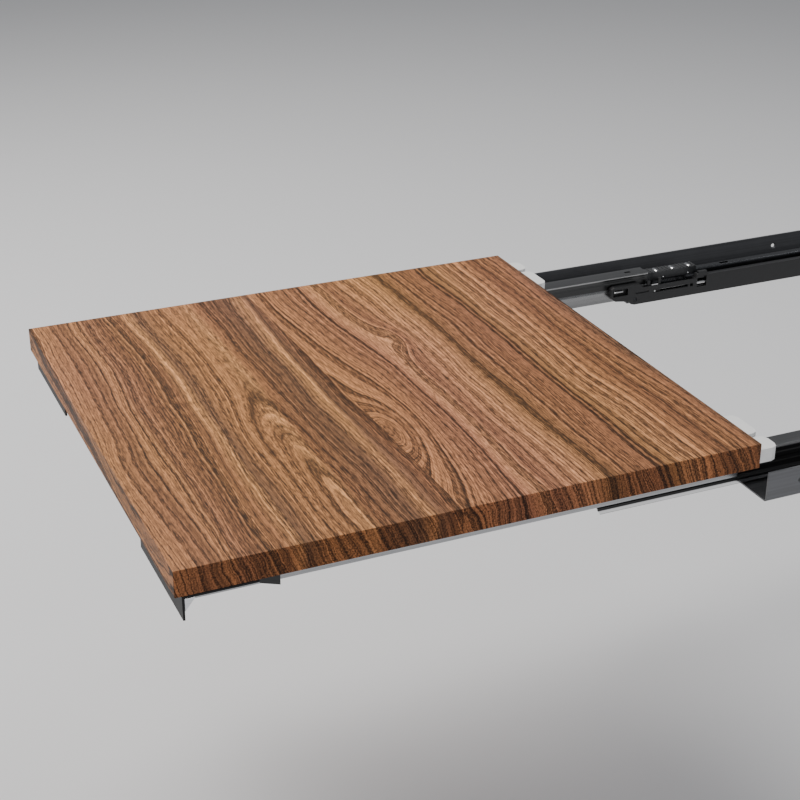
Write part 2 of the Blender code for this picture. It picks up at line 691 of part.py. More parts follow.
def rear_clip(label, side, material, ride_on):
    """The two-pad plastic clip on the board's back edge."""
    front = along(BOARD_DEPTH + TOUCH)
    top = -CLIP_TOP_DROP
    bottom = top - CLIP_HEIGHT
    web = block(
        (across(side, CLIP_PADS[0][0] + 2 * MM), across(side, CLIP_PADS[1][1] - 2 * MM)),
        (front, front + CLIP_WEB),
        (bottom + 1 * MM, top - 1 * MM),
    )
    clip = piece(f"rear_clip_{label}", web, material, ride_on)
    pads = []
    for start, end in CLIP_PADS:
        corner, bulge = CLIP_CORNER, CLIP_CORNER * 0.3
        plan = [
            (start, INSET),
            (end, INSET),
            (end, CLIP_LENGTH - corner),
            (end - bulge, CLIP_LENGTH - bulge),
            (end - corner, CLIP_LENGTH),
            (start + corner, CLIP_LENGTH),
            (start + bulge, CLIP_LENGTH - bulge),
            (start, CLIP_LENGTH - corner),
        ]
        plan = [(across(side, inward), front + deep) for inward, deep in plan]
        pads.append(prism(plan, "XY", bottom, top))
    boolean(clip, pads, "UNION")
    x, z = across(side, clip_screw_inward()), clip_screw_height()
    hole = rod((x, front - PAST, z), (x, front + 2 * PAST, z), SCREW_RADIUS + HOLE_SLACK, 12)
    boolean(clip, [hole], "DIFFERENCE")


def outer_cage(label, side, material, ride_on):
    """The cage between the running and intermediate rails: load rollers on top, balls at both sides."""
    rear = OUTER_CAGE_REAR
    front = rear - OUTER_CAGE_LENGTH
    middle = (RUNNING_TOP + INTERMEDIATE_ROOF - SHEET) / 2
    ball_line = RUNNING_HALF + BALL_GAP / 2
    plate = block(
        (across(side, RAIL_CENTRE - ball_line), across(side, RAIL_CENTRE + ball_line)),
        (along(front), along(rear)),
        (middle - CAGE_PLATE / 2, middle + CAGE_PLATE / 2),
    )
    cage = piece(f"outer_cage_{label}", plate, material, ride_on)
    row = RUNNING_TOP - OUTER_BALL_DROP
    skirts = []
    for way in (-1, 1):
        edge = ball_line - CAGE_WALL
        skirts.append(
            block(
                (across(side, RAIL_CENTRE + way * edge), across(side, RAIL_CENTRE + way * ball_line)),
                (along(front + INSET), along(rear - INSET)),
                (row - SKIRT_BELOW_BALLS, middle),
            )
        )
    boolean(cage, skirts, "UNION")
    rollers = []
    radius = ROLLER_SPACE / 2 - ROLL_SLACK
    pitch = (OUTER_CAGE_LENGTH - 2 * CAGE_END) / (ROLLER_COUNT - 1)
    for index in range(ROLLER_COUNT):
        y = along(front + CAGE_END + index * pitch)
        start = across(side, RAIL_CENTRE - RUNNING_HALF + ROLLER_END_GAP)
        end = across(side, RAIL_CENTRE + RUNNING_HALF - ROLLER_END_GAP)
        rollers.append(rod((start, y, middle), (end, y, middle), radius, 14))
    boolean(cage, rollers, "UNION")
    boolean(cage, ball_row(side, (-ball_line, ball_line), row, front, OUTER_CAGE_LENGTH), "UNION")


def ball_row(side, offsets, z, front, length):
    """Balls at each offset from the rails' centre line, evenly along a cage."""
    radius = BALL_GAP / 2 - ROLL_SLACK / 2
    pitch = (length - 3 * CAGE_END) / (BALLS_PER_ROW - 1)
    balls = []
    for offset in offsets:
        for index in range(BALLS_PER_ROW):
            y = along(front + 1.5 * CAGE_END + index * pitch)
            balls.append(ball((across(side, RAIL_CENTRE + offset), y, z), radius))
    return balls


def inner_cage(label, side, material, ride_on):
    """The ball cage between the intermediate and drawer rails."""
    front = INNER_CAGE_FRONT
    rear = front + INNER_CAGE_LENGTH
    line = INTERMEDIATE_HALF + BALL_GAP / 2
    half_wall = CAGE_WALL / 2
    bridge_top = DRAWER_ROOF - SHEET - SLIDE_SLACK
    bridge_bottom = INTERMEDIATE_ROOF + SLIDE_SLACK
    rows = [INTERMEDIATE_ROOF - drop for drop in BALL_ROW_DROPS]
    outer = block(
        (across(side, RAIL_CENTRE - line - half_wall), across(side, RAIL_CENTRE - line + half_wall)),
        (along(front), along(rear)),
        (rows[1] - STRIP_BELOW_BALLS, bridge_top),
    )
    cage = piece(f"inner_cage_{label}", outer, material, ride_on)
    bridge = block(
        (across(side, RAIL_CENTRE - line), across(side, RAIL_CENTRE + line)),
        (along(front + INSET), along(rear - INSET)),
        (bridge_bottom, bridge_top - INSET),
    )
    boolean(cage, [bridge], "UNION")
    inner = block(
        (across(side, RAIL_CENTRE + line - half_wall), across(side, RAIL_CENTRE + line + half_wall)),
        (along(front + 2 * INSET), along(rear - 2 * INSET)),
        (rows[0] - STRIP_BELOW_BALLS, bridge_top - 2 * INSET),
    )
    boolean(cage, [inner], "UNION")
    balls = ball_row(side, (-line, line), rows[0], front, INNER_CAGE_LENGTH)
    balls += ball_row(side, (-line,), rows[1], front, INNER_CAGE_LENGTH)
    boolean(cage, balls, "UNION")


def unit_height(drop):
    """A height in the soft-close unit, measured down from the drawer rail's inner flange."""
    return DRAWER_ROOF - DRAWER_FLANGE_INNER_SIDE - drop


def unit_pin_height():
    return unit_height(PIN_DROP)


def damper_housing(label, side, material):
    """The moulded housing: a funnel-shaped nose, a low stretch for the catch and a long damper cover."""
    nose, foot = unit_height(NOSE_DROP), SHELF_BOTTOM - UNIT_FOOT
    low, cover = unit_height(LOW_DROP), unit_height(COVER_DROP)
    slot_start, slot_end = catch_slot()
    start, rear = UNIT_SETBACK, UNIT_SETBACK + UNIT_LENGTH
    outline = [
        (start, nose - 2 * MM),
        (start, foot + 13 * MM),
        (start + 6 * MM, foot + 8 * MM),
        (start + 24 * MM, foot + 5.5 * MM),
        (start + 28 * MM, foot + 1.5 * MM),
        (start + 33 * MM, foot),
        (rear, foot),
        (rear, cover),
        (slot_end + 29 * MM, cover),
        (slot_end + 27 * MM, nose),
        (slot_end + 13 * MM, nose),
        (slot_end + 11 * MM, low),
        (slot_start - 15 * MM, low),
        (slot_start - 20 * MM, nose),
        (start + 4 * MM, nose),
    ]
    outline = [(along(setback), z) for setback, z in outline]
    faces = across(side, UNIT_INNER), across(side, UNIT_OUTER)
    housing = piece(f"damper_housing_{label}", prism(outline, "YZ", min(faces), max(faces)), material)
    floor = UNIT_OUTER - UNIT_FACE
    pocket = block(
        (across(side, UNIT_INNER - PAST), across(side, floor)),
        (along(slot_start - 13 * MM), along(rear - 5 * MM)),
        (SHELF_TOP + 1.2 * MM, low - 1.5 * MM),
    )
    mouth = block(
        (across(side, UNIT_INNER - PAST), across(side, floor)),
        (along(slot_start - 13 * MM), along(slot_end + 9 * MM)),
        (low - 3 * MM, nose + 3 * MM),
    )
    shelf_slot = block(
        (across(side, UNIT_INNER - PAST), across(side, UNIT_INNER + UNIT_SEAT + TOUCH)),
        (along(UNIT_SETBACK + UNIT_NOSE - TOUCH), along(rear + PAST)),
        (SHELF_BOTTOM - TOUCH, SHELF_TOP + TOUCH),
    )
    pin = unit_pin_height()
    through = across(side, floor - 1 * MM), across(side, UNIT_OUTER + PAST)
    openings = [
        block(through, (along(slot_start), along(slot_end)), (pin - 1.6 * MM, pin + 1.6 * MM)),
        block(
            through,
            (along(slot_end + 13 * MM), along(slot_end + 26 * MM)),
            (pin - 4 * MM, nose - 3.5 * MM),
        ),
        block(
            through,
            (along(slot_end + 3 * MM), along(slot_end + 7 * MM)),
            (pin - 1.8 * MM, pin + 1.8 * MM),
        ),
    ]
    scoop = block(
        (across(side, UNIT_INNER + 2.5 * MM), across(side, UNIT_OUTER + PAST)),
        (along(start + 3 * MM), along(start + 23 * MM)),
        (foot + 14 * MM, nose - 3.5 * MM),
    )
    groove = block(
        (across(side, UNIT_OUTER - 1.2 * MM), across(side, UNIT_OUTER + PAST)),
        (along(start + 34 * MM), along(start + 52 * MM)),
        (pin + 0.4 * MM, pin + 2.4 * MM),
    )
    crest = block(
        (across(side, RAIL_CENTRE + DRAWER_HALF + SLIDE_SLACK), across(side, UNIT_OUTER)),
        (along(slot_end + 14 * MM), along(slot_end + 26 * MM)),
        (nose - 1 * MM, nose + 3 * MM),
    )
    boolean(housing, [pocket], "DIFFERENCE")
    boolean(housing, [mouth, shelf_slot], "DIFFERENCE")
    boolean(housing, [crest], "UNION")
    boolean(housing, [*openings, scoop, groove], "DIFFERENCE")
    boolean(housing, [screw_bore(side)], "DIFFERENCE")


def housing_screw_seat(side):
    """The bottom of the counterbore in the housing's face that holds its cover screw."""
    x = across(side, UNIT_OUTER - HOUSING_SCREW_SINK)
    return Vector((x, along(UNIT_SETBACK + 34 * MM), SHELF_BOTTOM + 5.5 * MM))


def screw_bore(side):
    """The round recess in the housing's face for its cover screw."""
    seat = housing_screw_seat(side)
    return rod(seat, seat + Vector((-side, 0, 0)) * PAST, HOUSING_SCREW_RADIUS + TOUCH, 16)


def housing_screw(label, side, material):
    seat = housing_screw_seat(side)
    out = Vector((-side, 0, 0))
    low = seat + out * TOUCH
    head = rod(low, low + out * 1 * MM, HOUSING_SCREW_RADIUS, 16, HOUSING_SCREW_RADIUS * 0.85)
    piece(f"housing_screw_{label}", head, material)


def catch_slot():
    """Where the housing's guide slot starts and ends."""
    slack = PIN_RADIUS + SLOT_SLACK
    return CATCH_SETBACK - slack, CATCH_SETBACK + CATCH_TRAVEL + slack


def catch_slider(label, side, material, ride_on):
    """The catch that the striker pushes: a shoe with a rear and a front prong and a spring lug."""
    inner = UNIT_INNER + 2 * TOUCH
    outer = UNIT_OUTER - UNIT_FACE - SLIDE_SLACK
    pin = unit_pin_height()
    shoe = block(
        (across(side, inner), across(side, outer)),
        (along(CATCH_SETBACK - CATCH_AHEAD), along(CATCH_SETBACK + CATCH_BEHIND)),
        (pin - CYLINDER_RADIUS, unit_height(SHOE_DROP)),
    )
    catch = piece(f"catch_slider_{label}", shoe, material, ride_on)
    neck = RAIL_CENTRE + DRAWER_HALF + SLIDE_SLACK
    face = outer - INSET
    front, rear = CATCH_SETBACK - CATCH_AHEAD + 2 * INSET, CATCH_SETBACK + CATCH_BEHIND - 2 * INSET
    ahead = along(front), along(front + PRONG_FRONT)
    behind = along(rear - PRONG_REAR), along(rear)
    prongs = [
        block((across(side, neck), across(side, face)), behind, (pin, STRIKER_BOTTOM + CATCH_OVERLAP)),
        block((across(side, neck), across(side, face)), ahead, (pin, STRIKER_BOTTOM - CATCH_UNDERLAP)),
        block(
            (across(side, inner + INSET), across(side, face)),
            ahead,
            (spring_height() - SPRING_RADIUS, pin),
        ),
    ]
    boolean(catch, prongs[:2], "UNION")
    boolean(catch, prongs[2:], "UNION")
    x = across(side, inner), across(side, outer)
    y = along(CATCH_SETBACK)
    bores = [
        rod((x[0] * 2 - x[1], y, pin), (x[1] * 2 - x[0], y, pin), PIN_RADIUS + ROLL_SLACK, 14),
        rod(
            (across(side, unit_line()), along(CATCH_SETBACK + ROD_GRIP - TOUCH), pin),
            (across(side, unit_line()), along(CATCH_SETBACK + CATCH_BEHIND + PAST), pin),
            ROD_RADIUS + TOUCH,
            12,
        ),
    ]
    boolean(catch, bores, "DIFFERENCE")


def unit_line():
    """How far from the wall the damper, its rod and the spring lie."""
    return (UNIT_INNER + UNIT_OUTER - UNIT_FACE) / 2


def catch_pin(label, side, material, ride_on):
    pin = unit_pin_height()
    start = (across(side, UNIT_INNER + 3 * TOUCH), along(CATCH_SETBACK), pin)
    end = (across(side, UNIT_OUTER - SLIDE_SLACK), along(CATCH_SETBACK), pin)
    piece(f"catch_pin_{label}", rod(start, end, PIN_RADIUS, 14), material, ride_on)


def damper_rod(label, side, material, ride_on):
    x, z = across(side, unit_line()), unit_pin_height()
    start, end = along(CATCH_SETBACK + ROD_GRIP), along(cylinder_front() + 4 * MM)
    piece(f"damper_rod_{label}", rod((x, start, z), (x, end, z), ROD_RADIUS, 12), material, ride_on)


def cylinder_front():
    return CATCH_SETBACK + CATCH_TRAVEL + CYLINDER_GAP


def damper_cylinder(label, side, material):
    x, z = across(side, unit_line()), unit_pin_height()
    front = along(cylinder_front())
    rear = along(UNIT_SETBACK + UNIT_LENGTH - 8 * MM)
    tube = rod((x, front, z), (x, rear, z), CYLINDER_RADIUS, 18)
    cylinder = piece(f"damper_cylinder_{label}", tube, material)
    depth = CATCH_TRAVEL + 10 * MM
    bore = rod((x, front - PAST, z), (x, front + depth, z), ROD_RADIUS + TOUCH, 12)
    boolean(cylinder, [bore], "DIFFERENCE")


def closing_spring(label, side, material):
    """The envelope of the tension spring that draws the catch in."""
    x, z = across(side, unit_line()), spring_height()
    start = along(CATCH_SETBACK - CATCH_AHEAD + PRONG_FRONT + 2 * TOUCH)
    end = along(UNIT_SETBACK + UNIT_LENGTH - 12 * MM)
    piece(f"closing_spring_{label}", rod((x, start, z), (x, end, z), SPRING_RADIUS, 14), material)


def spring_height():
    return unit_pin_height() - CYLINDER_RADIUS - SPRING_RADIUS - 0.5 * MM


def striker(label, side, material, ride_on):
    """The block on the drawer rail that pushes the catch home over the last part of the travel."""
    inner = RAIL_CENTRE + DRAWER_HALF + TOUCH
    front = along(STRIKER_SETBACK - STRIKER_LENGTH / 2)
    shape = block(
        (across(side, inner), across(side, inner + STRIKER_WIDTH)),
        (front, front + STRIKER_LENGTH),
        (STRIKER_BOTTOM, DRAWER_ROOF - 1.8 * MM),
    )
    piece(f"striker_{label}", shape, material, ride_on)


def board_screws(label, side, material, ride_on):
    """The screws that hold the rail lugs and the bracket's feet up against the board."""
    for name, (inward, setback) in screw_places(side).items():
        sheet = SHEET if name.startswith("rail") else BRACKET_SHEET
        seat = (across(side, inward), along(setback), UNDERSIDE - 2 * TOUCH - sheet)
        length = SCREW_LENGTH - 1 * MM + sheet
        screw(f"{name}_{label}", seat, (0, 0, 1), length, material, ride_on)


def clip_screw(label, side, material, ride_on):
    x, z = across(side, clip_screw_inward()), clip_screw_height()
    seat = (x, along(BOARD_DEPTH + 2 * TOUCH) + CLIP_WEB, z)
    radius = (CLIP_PADS[1][0] - CLIP_PADS[0][1]) / 2 - 0.4 * MM
    screw(f"clip_screw_{label}", seat, (0, -1, 0), SCREW_LENGTH, material, ride_on, radius)


def build():
    clear_scene()
    walnut = finish("walnut", (0.30, 0.16, 0.09), 0.5, 0)
    dark_steel = finish("dark_steel", (0.05, 0.05, 0.055), 0.4, 0.6)
    zinc = finish("zinc", (0.62, 0.63, 0.65), 0.25, 1)
    grey_steel = finish("grey_steel", (0.3, 0.3, 0.32), 0.3, 1)
    black_steel = finish("black_steel", (0.012, 0.012, 0.013), 0.45, 0)
    black_plastic = finish("black_plastic", (0.015, 0.015, 0.016), 0.4, 0)
    grey_plastic = finish("grey_plastic", (0.35, 0.35, 0.36), 0.5, 0)
    white_plastic = finish("white_plastic", (0.85, 0.85, 0.84), 0.4, 0)
    bright_steel = finish("bright_steel", (0.7, 0.7, 0.7), 0.2, 1)

    board_ride = carrier("board_slide", (0, 0, 0))
    worktop_board(walnut, board_ride)
    for label, side in SIDES:
        centre = across(side, RAIL_CENTRE)
        middle_place = (centre, along(INTERMEDIATE_FRONT), RUNNING_TOP)
        middle_ride = carrier(f"intermediate_slide_{label}", middle_place)
        outer_place = (centre, along(OUTER_CAGE_REAR), RUNNING_TOP)
        outer_ride = carrier(f"outer_cage_slide_{label}", outer_place)
        inner_place = (centre, along(INNER_CAGE_FRONT), DRAWER_ROOF)
        inner_ride = carrier(f"inner_cage_slide_{label}", inner_place)
        catch_place = (across(side, unit_line()), along(CATCH_SETBACK), unit_pin_height())
        catch_ride = carrier(f"catch_slide_{label}", catch_place)

        mounting_angle(label, side, dark_steel)
        running_rail(label, side, grey_steel)
        rail_end_stop(label, side, black_plastic)
        damper_housing(label, side, black_plastic)
        housing_screw(label, side, bright_steel)
        damper_cylinder(label, side, bright_steel)
        closing_spring(label, side, bright_steel)

        drawer_rail(label, side, zinc, board_ride)
        front_bracket(label, side, black_steel, board_ride)
        corner_brace(label, side, zinc, board_ride)
        lever_rivet(label, side, bright_steel, board_ride)
        rear_clip(label, side, white_plastic, board_ride)
        clip_screw(label, side, dark_steel, board_ride)
        striker(label, side, black_plastic, board_ride)
        board_screws(label, side, bright_steel, board_ride)
        release_lever(label, side, zinc, board_ride)
        lever_grip(label, side, black_plastic, board_ride)

        intermediate_rail(label, side, zinc, middle_ride)
        outer_cage(label, side, grey_plastic, outer_ride)
        inner_cage(label, side, grey_plastic, inner_ride)
        catch_slider(label, side, black_plastic, catch_ride)
        catch_pin(label, side, bright_steel, catch_ride)
        damper_rod(label, side, bright_steel, catch_ride)


build()
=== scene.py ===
# %% [markdown]
# # A pull-out board on soft-closing drawer slides
# A walnut board runs out of a cabinet on two steel slides. Each slide is three nested rails with
# rollers and balls between them, a plastic soft-close unit, and small black and white fittings.
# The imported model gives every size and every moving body. This script gives each part its real
# surface: rolled zinc, anthracite paint, moulded plastic and oiled walnut.

# %% Load the frame
import json
import math

import bmesh
import bpy
from mathutils import Matrix, Vector

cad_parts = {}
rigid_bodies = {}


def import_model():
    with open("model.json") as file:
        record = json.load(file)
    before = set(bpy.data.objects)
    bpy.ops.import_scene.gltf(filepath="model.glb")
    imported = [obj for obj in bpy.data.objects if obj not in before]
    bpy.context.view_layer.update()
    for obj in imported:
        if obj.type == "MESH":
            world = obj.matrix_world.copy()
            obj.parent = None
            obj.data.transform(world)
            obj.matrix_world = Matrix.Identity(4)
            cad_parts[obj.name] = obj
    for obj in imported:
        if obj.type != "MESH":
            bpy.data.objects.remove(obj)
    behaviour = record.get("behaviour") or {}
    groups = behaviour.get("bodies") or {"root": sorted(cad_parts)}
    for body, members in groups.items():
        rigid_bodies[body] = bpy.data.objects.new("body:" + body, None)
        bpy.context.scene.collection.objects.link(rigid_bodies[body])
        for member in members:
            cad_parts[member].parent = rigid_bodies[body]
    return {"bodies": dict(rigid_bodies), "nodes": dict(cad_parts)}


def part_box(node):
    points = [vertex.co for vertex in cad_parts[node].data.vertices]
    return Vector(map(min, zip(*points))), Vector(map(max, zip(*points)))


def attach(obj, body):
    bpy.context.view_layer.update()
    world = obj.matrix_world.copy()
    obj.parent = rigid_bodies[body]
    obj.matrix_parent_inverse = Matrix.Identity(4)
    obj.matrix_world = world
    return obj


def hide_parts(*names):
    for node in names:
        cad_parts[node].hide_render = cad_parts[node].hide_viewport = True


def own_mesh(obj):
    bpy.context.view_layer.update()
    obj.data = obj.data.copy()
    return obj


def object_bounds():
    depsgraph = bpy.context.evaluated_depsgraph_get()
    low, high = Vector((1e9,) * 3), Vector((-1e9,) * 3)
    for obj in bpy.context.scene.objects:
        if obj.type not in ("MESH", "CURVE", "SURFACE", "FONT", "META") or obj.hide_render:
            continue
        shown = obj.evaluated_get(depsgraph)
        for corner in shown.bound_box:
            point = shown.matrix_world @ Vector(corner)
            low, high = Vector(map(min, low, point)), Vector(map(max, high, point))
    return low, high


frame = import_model()
cad_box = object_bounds()
MM = 0.001
print("CAD box:", cad_box)

# %% [markdown]
# ## Places that the parts share
# The left slide is drawn as (in, z), where "in" is the distance from the cabinet wall. The wall's
# place and the rails' centre line are read from the frame, so nothing has to be fitted by hand.

# %% Measure the frame
board_low, board_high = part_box("worktop_board")
angle_low, angle_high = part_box("mounting_angle_left")
running_low, running_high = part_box("running_rail_left")
middle_low, middle_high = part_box("intermediate_rail_left")
drawer_low, drawer_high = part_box("drawer_rail_left")
cage_low, cage_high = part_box("outer_cage_left")
inner_cage_low, inner_cage_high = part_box("inner_cage_left")
housing_low, housing_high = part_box("damper_housing_left")
wall = angle_low.x
rail_centre = (running_low.x + running_high.x) / 2
print("wall at", round(wall, 4), "rails' centre line at", round(rail_centre, 4))

# %% [markdown]
# ## Camera
# The board is seen from beyond its right side, from above. A long lens keeps the far slide large.

# %% Add the camera
CAMERA_PLACE = (1.365, -0.561, 0.683)
CAMERA_PITCH = 25.47
CAMERA_HEADING = 66.41
camera_data = bpy.data.cameras.new("camera")
camera_data.sensor_width = 36
camera_data.lens = 73.67
camera_data.clip_start = 0.01
camera = bpy.data.objects.new("camera", camera_data)
camera.location = CAMERA_PLACE
camera.rotation_euler = (math.radians(90 - CAMERA_PITCH), 0, math.radians(CAMERA_HEADING))
bpy.context.scene.collection.objects.link(camera)
bpy.context.scene.camera = camera
print("camera at", CAMERA_PLACE)

# %% [markdown]
# ## Light and floor
# One large soft lamp stands to the front left and above, so the board's top is bright and its
# right-hand edge falls into shade. A narrow lamp behind gives the rails their long highlights, and a
# weak one on the right fills in the shade there.


# %% Add the floor and the lamps
def add_lamp(name, place, target, size, power, colour=(1, 1, 1)):
    lamp = bpy.data.lights.new(name, "AREA")
    lamp.shape = "RECTANGLE"
    lamp.size, lamp.size_y = size
    lamp.energy = power
    lamp.color = colour
    holder = bpy.data.objects.new(name, lamp)
    holder.location = place
    direction = Vector(target) - Vector(place)
    holder.rotation_euler = direction.to_track_quat("-Z", "Y").to_euler()
    bpy.context.scene.collection.objects.link(holder)
    return holder


FLOOR_DROP = 0.42
floor_shape = bmesh.new()
bmesh.ops.create_grid(floor_shape, x_segments=1, y_segments=1, size=15)
bmesh.ops.translate(floor_shape, verts=floor_shape.verts, vec=(0, 0, cad_box[0][2] - FLOOR_DROP))
floor_mesh = bpy.data.meshes.new("floor")
floor_shape.to_mesh(floor_mesh)
floor_shape.free()
floor = bpy.data.objects.new("floor", floor_mesh)
bpy.context.scene.collection.objects.link(floor)
floor_finish = bpy.data.materials.new("pale_floor")
floor_finish.use_nodes = True
floor_shader = floor_finish.node_tree.nodes["Principled BSDF"]
floor_shader.inputs["Base Color"].default_value = (0.74, 0.74, 0.75, 1)
floor_shader.inputs["Roughness"].default_value = 0.7
floor.data.materials.append(floor_finish)

world = bpy.data.worlds.new("studio")
world.use_nodes = True
world.node_tree.nodes["Background"].inputs["Color"].default_value = (0.80, 0.82, 0.86, 1)
world.node_tree.nodes["Background"].inputs["Strength"].default_value = 0.32
bpy.context.scene.world = world
add_lamp("key", (-1.5, -0.9, 2.5), (0, 0, 0), (1.8, 1.8), 122, (1.0, 0.98, 0.95))
add_lamp("back", (-0.6, 2.6, 1.9), (0, 0.4, 0), (1.6, 0.5), 16, (0.97, 0.98, 1.0))
add_lamp("right_fill", (2.6, 0.6, 1.0), (0, 0.2, 0), (1.4, 1.0), 18, (0.98, 0.99, 1.0))
print("floor", FLOOR_DROP, "m below the slides")

# %% [markdown]
# ## Building blocks for the finishes
# Every material is a Principled BSDF with small node groups in front of it. A group gives only
# values or colours: how rough a spot is, how high it stands, how dark it is.
# The first helper makes a named node and fills its sockets, which keeps each recipe short.


# %% Node helpers
def add_node(tree, kind, settings=None, **sockets):
    node = tree.nodes.new(kind)
    for name, value in (settings or {}).items():
        setattr(node, name, value)
    for name, value in sockets.items():
        plug(tree, value, node.inputs[name.replace("_", " ")])
    return node


def plug(tree, value, socket):
    if isinstance(value, bpy.types.NodeSocket):
        tree.links.new(value, socket)
    else:
        socket.default_value = value


def maths(tree, operation, first, second=0.0, third=0.0):
    node = tree.nodes.new("ShaderNodeMath")
    node.operation = operation
    for socket, value in zip(node.inputs, (first, second, third)):
        plug(tree, value, socket)
    return node.outputs["Value"]


def ramp(tree, value, stops):
    """A colour ramp through (place, grey or colour) stops."""
    node = add_node(tree, "ShaderNodeValToRGB", Fac=value)
    band = node.color_ramp
    while len(band.elements) < len(stops):
        band.elements.new(0.5)
    for element, (place, shade) in zip(band.elements, stops):
        element.position = place
        element.color = (shade, shade, shade, 1) if isinstance(shade, (int, float)) else (*shade, 1)
    return node.outputs["Color"]


def stretched(tree, vector, scale):
    return add_node(tree, "ShaderNodeMapping", Vector=vector, Scale=scale).outputs["Vector"]


def noise(tree, vector, scale, detail=2.0, roughness=0.5):
    node = add_node(
        tree, "ShaderNodeTexNoise", Vector=vector, Scale=scale, Detail=detail, Roughness=roughness
    )
    return node.outputs["Fac"]


def new_group(name, inputs, outputs):
    """An empty shader node group with its input and output sockets."""
    group = bpy.data.node_groups.new(name, "ShaderNodeTree")
    for socket, kind, value in inputs:
        made = group.interface.new_socket(socket, in_out="INPUT", socket_type=kind)
        if value is not None:
            made.default_value = value
    for socket, kind in outputs:
        group.interface.new_socket(socket, in_out="OUTPUT", socket_type=kind)
    source = group.nodes.new("NodeGroupInput")
    sink = group.nodes.new("NodeGroupOutput")
    return group, source.outputs, sink.inputs


def use_group(tree, group, **sockets):
    node = tree.nodes.new("ShaderNodeGroup")
    node.node_tree = group
    for name, value in sockets.items():
        plug(tree, value, node.inputs[name.replace("_", " ")])
    return node.outputs


def new_finish(name, **sockets):
    """A material with its Principled shader's fixed sockets set, and its tree and coordinates to build on."""
    finish = bpy.data.materials.new(name)
    finish.use_nodes = True
    tree = finish.node_tree
    shader = tree.nodes["Principled BSDF"]
    for socket, value in sockets.items():
        shader.inputs[socket.replace("_", " ")].default_value = value
    place = tree.nodes.new("ShaderNodeTexCoord")
    return finish, tree, shader, place


def bump(tree, shader, height, strength, distance):
    node = add_node(tree, "ShaderNodeBump", Height=height, Strength=strength, Distance=distance)
    tree.links.new(node.outputs["Normal"], shader.inputs["Normal"])


# %% [markdown]
# ### Rolled steel, handling marks and moulded grain
# Steel strip comes off the rolls with fine lines along its length. Noise that is stretched along Y
# gives those lines. Handling marks are broad, soft patches where the gloss changes. Moulded plastic
# has a fine even grain from the etched tool.

# %% Group: rolled lines
rolled_lines, given, result = new_group(
    "rolled_lines",
    [("Place", "NodeSocketVector", None), ("Fineness", "NodeSocketFloat", 1.0)],
    [("Lines", "NodeSocketFloat"), ("Streaks", "NodeSocketFloat")],
)
tree = rolled_lines
scaled = add_node(
    tree, "ShaderNodeVectorMath", {"operation": "SCALE"}, Vector=given["Place"], Scale=given["Fineness"]
)
fine = noise(tree, stretched(tree, scaled.outputs["Vector"], (2600, 9, 2600)), 1.0, 3.0, 0.6)
broad = noise(tree, stretched(tree, scaled.outputs["Vector"], (420, 3, 420)), 1.0, 2.0)
tree.links.new(fine, result["Lines"])
tree.links.new(broad, result["Streaks"])
print("group:", rolled_lines.name)

# %% Group: handling marks
handling_marks, given, result = new_group(
    "handling_marks",
    [
        ("Place", "NodeSocketVector", None),
        ("Size", "NodeSocketFloat", 30.0),
        ("Amount", "NodeSocketFloat", 0.1),
    ],
    [("Change", "NodeSocketFloat")],
)
tree = handling_marks
cloud = noise(tree, given["Place"], given["Size"], 4.0, 0.6)
centred = maths(tree, "SUBTRACT", cloud, 0.5)
tree.links.new(maths(tree, "MULTIPLY", centred, given["Amount"]), result["Change"])
print("group:", handling_marks.name)

# %% Group: moulded grain
moulded_grain, given, result = new_group(
    "moulded_grain",
    [("Place", "NodeSocketVector", None), ("Size", "NodeSocketFloat", 2600.0)],
    [("Height", "NodeSocketFloat")],
)
tree = moulded_grain
cells = add_node(tree, "ShaderNodeTexVoronoi", Vector=given["Place"], Scale=given["Size"])
soft = noise(tree, given["Place"], 1400.0, 2.0)
grains = maths(tree, "ADD", cells.outputs["Distance"], soft)
tree.links.new(grains, result["Height"])
print("group:", moulded_grain.name)

# %% [markdown]
# ### Plated and painted steel
# One recipe makes every metal here: a base colour that drifts along the rolling lines, a roughness
# that changes with the lines and with handling, and a very shallow bump. Zinc stays fully metallic.
# Paint over steel is only partly so, and black paint not at all.


# %% Metal finishes
def steel(name, colour, roughness, line_depth, marks, metallic=1.0, fineness=1.0, shine=0.5):
    """Rolled strip steel with plating or paint over it."""
    finish, tree, shader, place = new_finish(name, Metallic=metallic)
    shader.inputs["Specular IOR Level"].default_value = shine
    spot = place.outputs["Object"]
    lines = use_group(tree, rolled_lines, Place=spot, Fineness=fineness)
    change = use_group(tree, handling_marks, Place=spot, Size=38.0, Amount=marks)["Change"]
    streak = maths(tree, "MULTIPLY_ADD", lines["Streaks"], 0.5, -0.25)
    shade = maths(tree, "ADD", maths(tree, "ADD", streak, change), 0.5)
    dark = tuple(part * 0.72 for part in colour)
    light = tuple(min(part * 1.28, 1.0) for part in colour)
    tree.links.new(ramp(tree, shade, [(0.25, dark), (0.75, light)]), shader.inputs["Base Color"])
    rough = maths(tree, "MULTIPLY_ADD", lines["Lines"], 0.16, roughness - 0.08)
    tree.links.new(maths(tree, "ADD", rough, change), shader.inputs["Roughness"])
    bump(tree, shader, lines["Lines"], line_depth, 0.02 * MM)
    return finish


